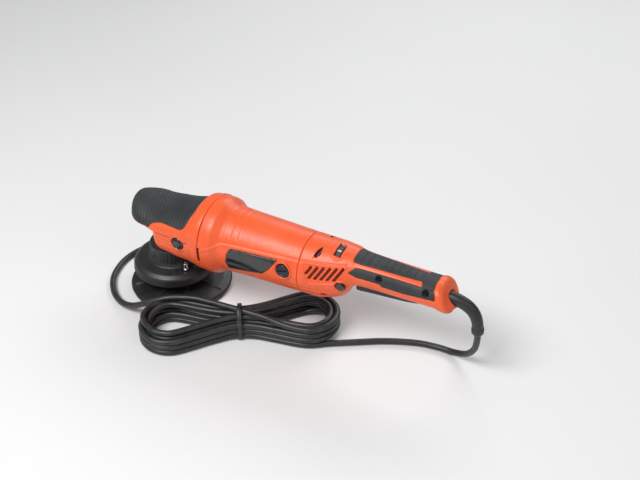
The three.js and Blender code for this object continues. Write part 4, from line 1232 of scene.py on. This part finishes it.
# ------------------------------------------------------------------ controls
TRIGGER_FRONT, TRIGGER_REAR = 241.0, 318.0
TRIGGER_EDGES = [  # x, lower edge, upper edge
    (TRIGGER_FRONT, 84.5, 87.5), (241.6, 81.2, 90.2), (243, 79.8, 91.8), (247, 79.8, 91.2),
    (252, 80.4, 90.6), (270, 82.2, 90.9), (296, 84.6, 91.9), (306, 86.0, 93.2), (312, 87.3, 94.3),
    (316, 89, 93.4), (TRIGGER_REAR, 91.0, 92.0),
]


def make_trigger():
    """The long paddle, full across its slot, with finger ribs along its underside."""
    box_low, box_high = cad("paddle_trigger")
    half = (box_high[1] - box_low[1]) / 2
    xs = np.concatenate([[TRIGGER_FRONT], np.arange(241.3, 317.8, 0.6), [TRIGGER_REAR]])
    turn = np.linspace(0, 2 * math.pi, 96, endpoint=False)
    x, t = np.meshgrid(xs, turn, indexing="ij")
    low = between([(r[0], r[1]) for r in TRIGGER_EDGES], x)
    high = between([(r[0], r[2]) for r in TRIGGER_EDGES], x)
    ends = np.clip(np.minimum(x - 240.9, 318.1 - x) / 2.5, 0.02, 1) ** 0.5
    width = half * (0.6 + 0.4 * ends)
    reach = oval_reach(t, width, (high - low) / 2, (high - low) / 2, 4.5)
    ribs = smooth((-np.sin(t) - 0.25) / 0.2) * smooth((x - 250) / 4) * smooth((300 - x) / 4)
    reach = reach - 0.45 * ribs * (0.5 + 0.5 * np.cos(2 * math.pi * x / 4.0)) ** 2
    place = np.stack([x, reach * np.cos(t), (low + high) / 2 + reach * np.sin(t)], -1)
    first, last = (np.broadcast_to(end.mean(0), (1, len(turn), 3)) for end in (place[0], place[-1]))
    paddle = grid_object("trigger_paddle", np.concatenate([first, place, last]))
    return finished(paddle, BLACK, "trigger", "black_plastic", "paddle_trigger")


def make_lock():
    """The round lock-on button, a little domed."""
    shoulder = [(1.2, LOCK_R), (0.4, LOCK_R - 0.5), (0, LOCK_R - 1.5)]
    profile = [(9, 0), (9, LOCK_R)] + shoulder + [(-0.1, 2), (-0.12, 0)]
    button = turned("lock_on_button", profile, "y", (LOCK_X, LOCK_LOW[1] + 0.1, LOCK_Z), 72, None, 0.5)
    return finished(button, GLOSS, "lock", "black_plastic", "lock_button")


def make_dial():
    """The knurled thumb wheel, lighter grey than the black plastic, with a pale line across the top of its
    rim: both a painted highlight.
    """
    half, rim, bore = DIAL_WIDTH / 2, DIAL_R - 0.9, 2.6
    profile = [
        (-half, bore), (-half, rim), (-half + 0.5, DIAL_R), (half - 0.5, DIAL_R), (half, rim), (half, bore),
        (-half, bore),
    ]

    def knurl(r, a, t):
        return r - 0.5 * (0.5 + 0.5 * np.cos(36 * t)) ** 3 * (r > DIAL_R - 1.2), a

    # A painted highlight: a pale band along the top of the rim, where the light falls.
    def index(r, a, t):
        line = within(np.abs(t - math.radians(112)) * DIAL_R, 0.9, 0.3)
        return line * (r > DIAL_R - 1.6) * (np.abs(a) < 2.2)

    place = (DIAL_X, DIAL_Y, DIAL_Z)
    dial = turned("speed_wheel", finely(profile, 0.5), "x", place, 288, knurl, 0, index)
    return finished(dial, WHEEL_PAINTED_HIGHLIGHT, "dial", "black_plastic", "speed_dial")


make_trigger()
make_lock()
make_dial()

# ------------------------------------------------------------------ plate and shroud
PLATE_LOW, PLATE_HIGH = cad("backing_plate")
PLATE_X, PLATE_R = (PLATE_LOW[0] + PLATE_HIGH[0]) / 2, (PLATE_HIGH[0] - PLATE_LOW[0]) / 2


def make_plate():
    """The backing plate: a hub, eight ribs on its back and a rolled rim."""
    profile = rounded([
        (2, 5.6), (6, 5.6), (6, 3.4), (14.7, 3.4), (14.7, 19), (10.5, 27), (9, 50), (7.5, 58.6),
        (5, PLATE_R), (2, PLATE_R - 1), (2, 5.6),
    ], 0.9, False)

    def ribs(r, a, t):
        zone = smooth((r - 21) / 4) * within(r, 56, 2) * (a > 6.5)
        near = np.abs(np.sin(4 * t)) * r / 4
        return r, a + 1.6 * zone * within(near, 1.9, 0.9)

    plate = turned("pad_plate", finely(profile, 1.1), "z", (PLATE_X, 0, 0), 256, ribs, 0)
    finished(plate, BLACK, "plate", "black_plastic", "backing_plate")
    edge = PLATE_R - 1.5
    face = rounded([(0, 5.6), (0, edge), (1.7, edge), (1.7, 5.6), (0, 5.6)], 0.5, False)
    pad = turned("hook_face", finely(face, 2.0), "z", (PLATE_X, 0, 0), 160, None, 0)
    finished(pad, HOOKS, "plate", "hook_fabric", "hook_pad")


GUARD_SLOT_TURN, GUARD_SLOT_STEP = math.radians(-108), 2 * math.pi / 5
GUARD_RIBS = 20
GUARD_HUB_R = 27.5


def from_guard_slot(t):
    """How far round from the nearest column of slots, as a share of the step between them."""
    return np.abs(((t - GUARD_SLOT_TURN) / GUARD_SLOT_STEP + 0.5) % 1 - 0.5)


def make_bolt():
    """The bright bolt that holds the guard: a socket head on a washer."""
    low, high = cad("guard_bolt")
    centre, wide, tall = cad_middle("guard_bolt"), (high[0] - low[0]) / 2, high[2] - low[2]
    head = wide - 1
    profile = rounded([
        (0, 0), (0, wide), (1.2, wide), (1.2, head), (tall - 0.4, head), (tall, head - 0.5), (tall, 1.5),
        (tall - 2.2, 1.4), (tall - 2.4, 0),
    ], 0.3, False)
    bolt = turned("guard_stud", finely(profile, 0.4), "z", (centre[0], centre[1], low[2]), 48, None, 0)
    finished(bolt, STEEL, "housing", "bright_steel", "guard_bolt")


def make_shroud():
    """The guard over the eccentric: a ribbed neck, a dished top with slots and a rolled rim."""
    outer = cad("plate_shroud")[1][0]
    profile = rounded([
        (59, 17), (56.6, 17), (56.6, 24.6), (42, 26.2), (36.8, 29.5), (35.4, 41), (31.5, 45.6), (24, 46),
        (24, outer), (32, outer), (34.5, 47), (38, 42.5), (39.5, 31), (44, 28.5), (59, 27), (59, 17),
    ], 1.2, False)

    def slots(a, t):
        """Three short level slots, one over another, at places round the hub."""
        beside = from_guard_slot(t) * GUARD_SLOT_STEP * GUARD_HUB_R
        up = np.min([np.abs(a - height) for height in (46.5, 50, 53.5)], axis=0)
        return within(beside, 3.2, 0.5) * within(up, 0.9, 0.4)

    def neck(r, a, t):
        outside = (r > 26.6) * (r < 29.5)
        rib = bump(np.sin(GUARD_RIBS * t), 0.5) * smooth((from_guard_slot(t) - 0.14) / 0.03)
        r = r + 0.8 * outside * smooth((a - 42) / 2) * within(a, 58, 1.5) * rib
        r = r - 1.5 * outside * slots(a, t)
        on_top = smooth((r - 32.5) / 1) * within(r, 41, 1) * (a > 37.8)
        a = a + 0.7 * on_top * bump(np.sin(GUARD_RIBS * t), 0.35)
        return r + 0.5 * bump(a - 26.5, 1.4) * (r > outer - 1), a

    # Painted shade on the inner faces of the slots.
    def dark(r, a, t):
        return (r < 26.9) * (r > 24.9) * (a > 44) * (a < 56) * slots(a, t)

    shroud = turned("eccentric_guard", finely(profile, 0.8), "z", (0, 0, 0), 360, neck, 0, dark)
    finished(shroud, BLACK, "housing", "black_plastic", "plate_shroud")


make_plate()
make_shroud()
make_bolt()

# ------------------------------------------------------------------ finishes of the inner pieces
INNER_FINISHES = [
    (ALUMINIUM, "gearbox_housing", "gearbox_lid"),
    (STEEL, "spindle_top_bearing", "spindle_main_bearing", "motor_front_bearing", "drive_pinion",
     "spindle", "eccentric_bearing", "plate_shaft", "plate_screw", "armature_shaft", "motor_rear_bearing"),
    (DARK_STEEL, "bearing_retainer", "crown_gear", "counterweight", "stator_core", "armature_core"),
    (COPPER, "stator_coil_front", "stator_coil_rear", "armature_winding_front",
     "armature_winding_rear", "commutator"),
    (BLACK, "cooling_fan", "switch_module"),
    (BRASS, "brush_holder_left", "brush_holder_right"),
    (CARBON, "carbon_brush_left", "carbon_brush_right"),
    (BOARD, "speed_controller"),
]
for material, *nodes in INNER_FINISHES:
    for node in nodes:
        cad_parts[node].data.materials.clear()
        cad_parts[node].data.materials.append(material)


# ------------------------------------------------------------------ studio
def make_floor():
    """A pale floor, 12 m square, out past the picture's edges."""
    half = 6.0
    corners = [(-half, -half, 0), (half, -half, 0), (half, half, 0), (-half, half, 0)]
    mesh = bpy.data.meshes.new("floor")
    mesh.from_pydata(corners, [], [(0, 1, 2, 3)])
    floor = bpy.data.objects.new("floor", mesh)
    bpy.context.scene.collection.objects.link(floor)
    n = Nodes("pale_floor")
    n.link(n.mix(n.noise(3.0), (0.74, 0.74, 0.74), (0.78, 0.78, 0.78)), n.shader.inputs["Base Color"])
    n.shader.inputs["Roughness"].default_value = 0.6
    mesh.materials.append(n.material)


def area_light(name, at, target, size, power):
    light = bpy.data.lights.new(name, "AREA")
    light.shape = "RECTANGLE"
    light.size, light.size_y = size
    light.energy = power
    lamp = bpy.data.objects.new(name, light)
    bpy.context.scene.collection.objects.link(lamp)
    lamp.location = at
    lamp.rotation_euler = (Vector(target) - Vector(at)).to_track_quat("-Z", "Y").to_euler()


def make_lights():
    middle = (0.13, 0.0, 0.06)
    area_light("key", (-0.2, -1.0, 1.5), middle, (1.1, 0.8), 30)
    area_light("fill", (1.5, -0.6, 1.0), middle, (1.2, 1.0), 4)
    area_light("back", (0.2, 1.4, 1.1), middle, (1.6, 0.6), 12)
    world = bpy.data.worlds.new("studio")
    world.use_nodes = True
    background = world.node_tree.nodes["Background"]
    background.inputs["Color"].default_value = (0.95, 0.97, 1.0, 1)
    background.inputs["Strength"].default_value = 0.25
    bpy.context.scene.world = world
    bpy.context.scene.view_settings.view_transform = "Standard"


make_floor()
make_lights()
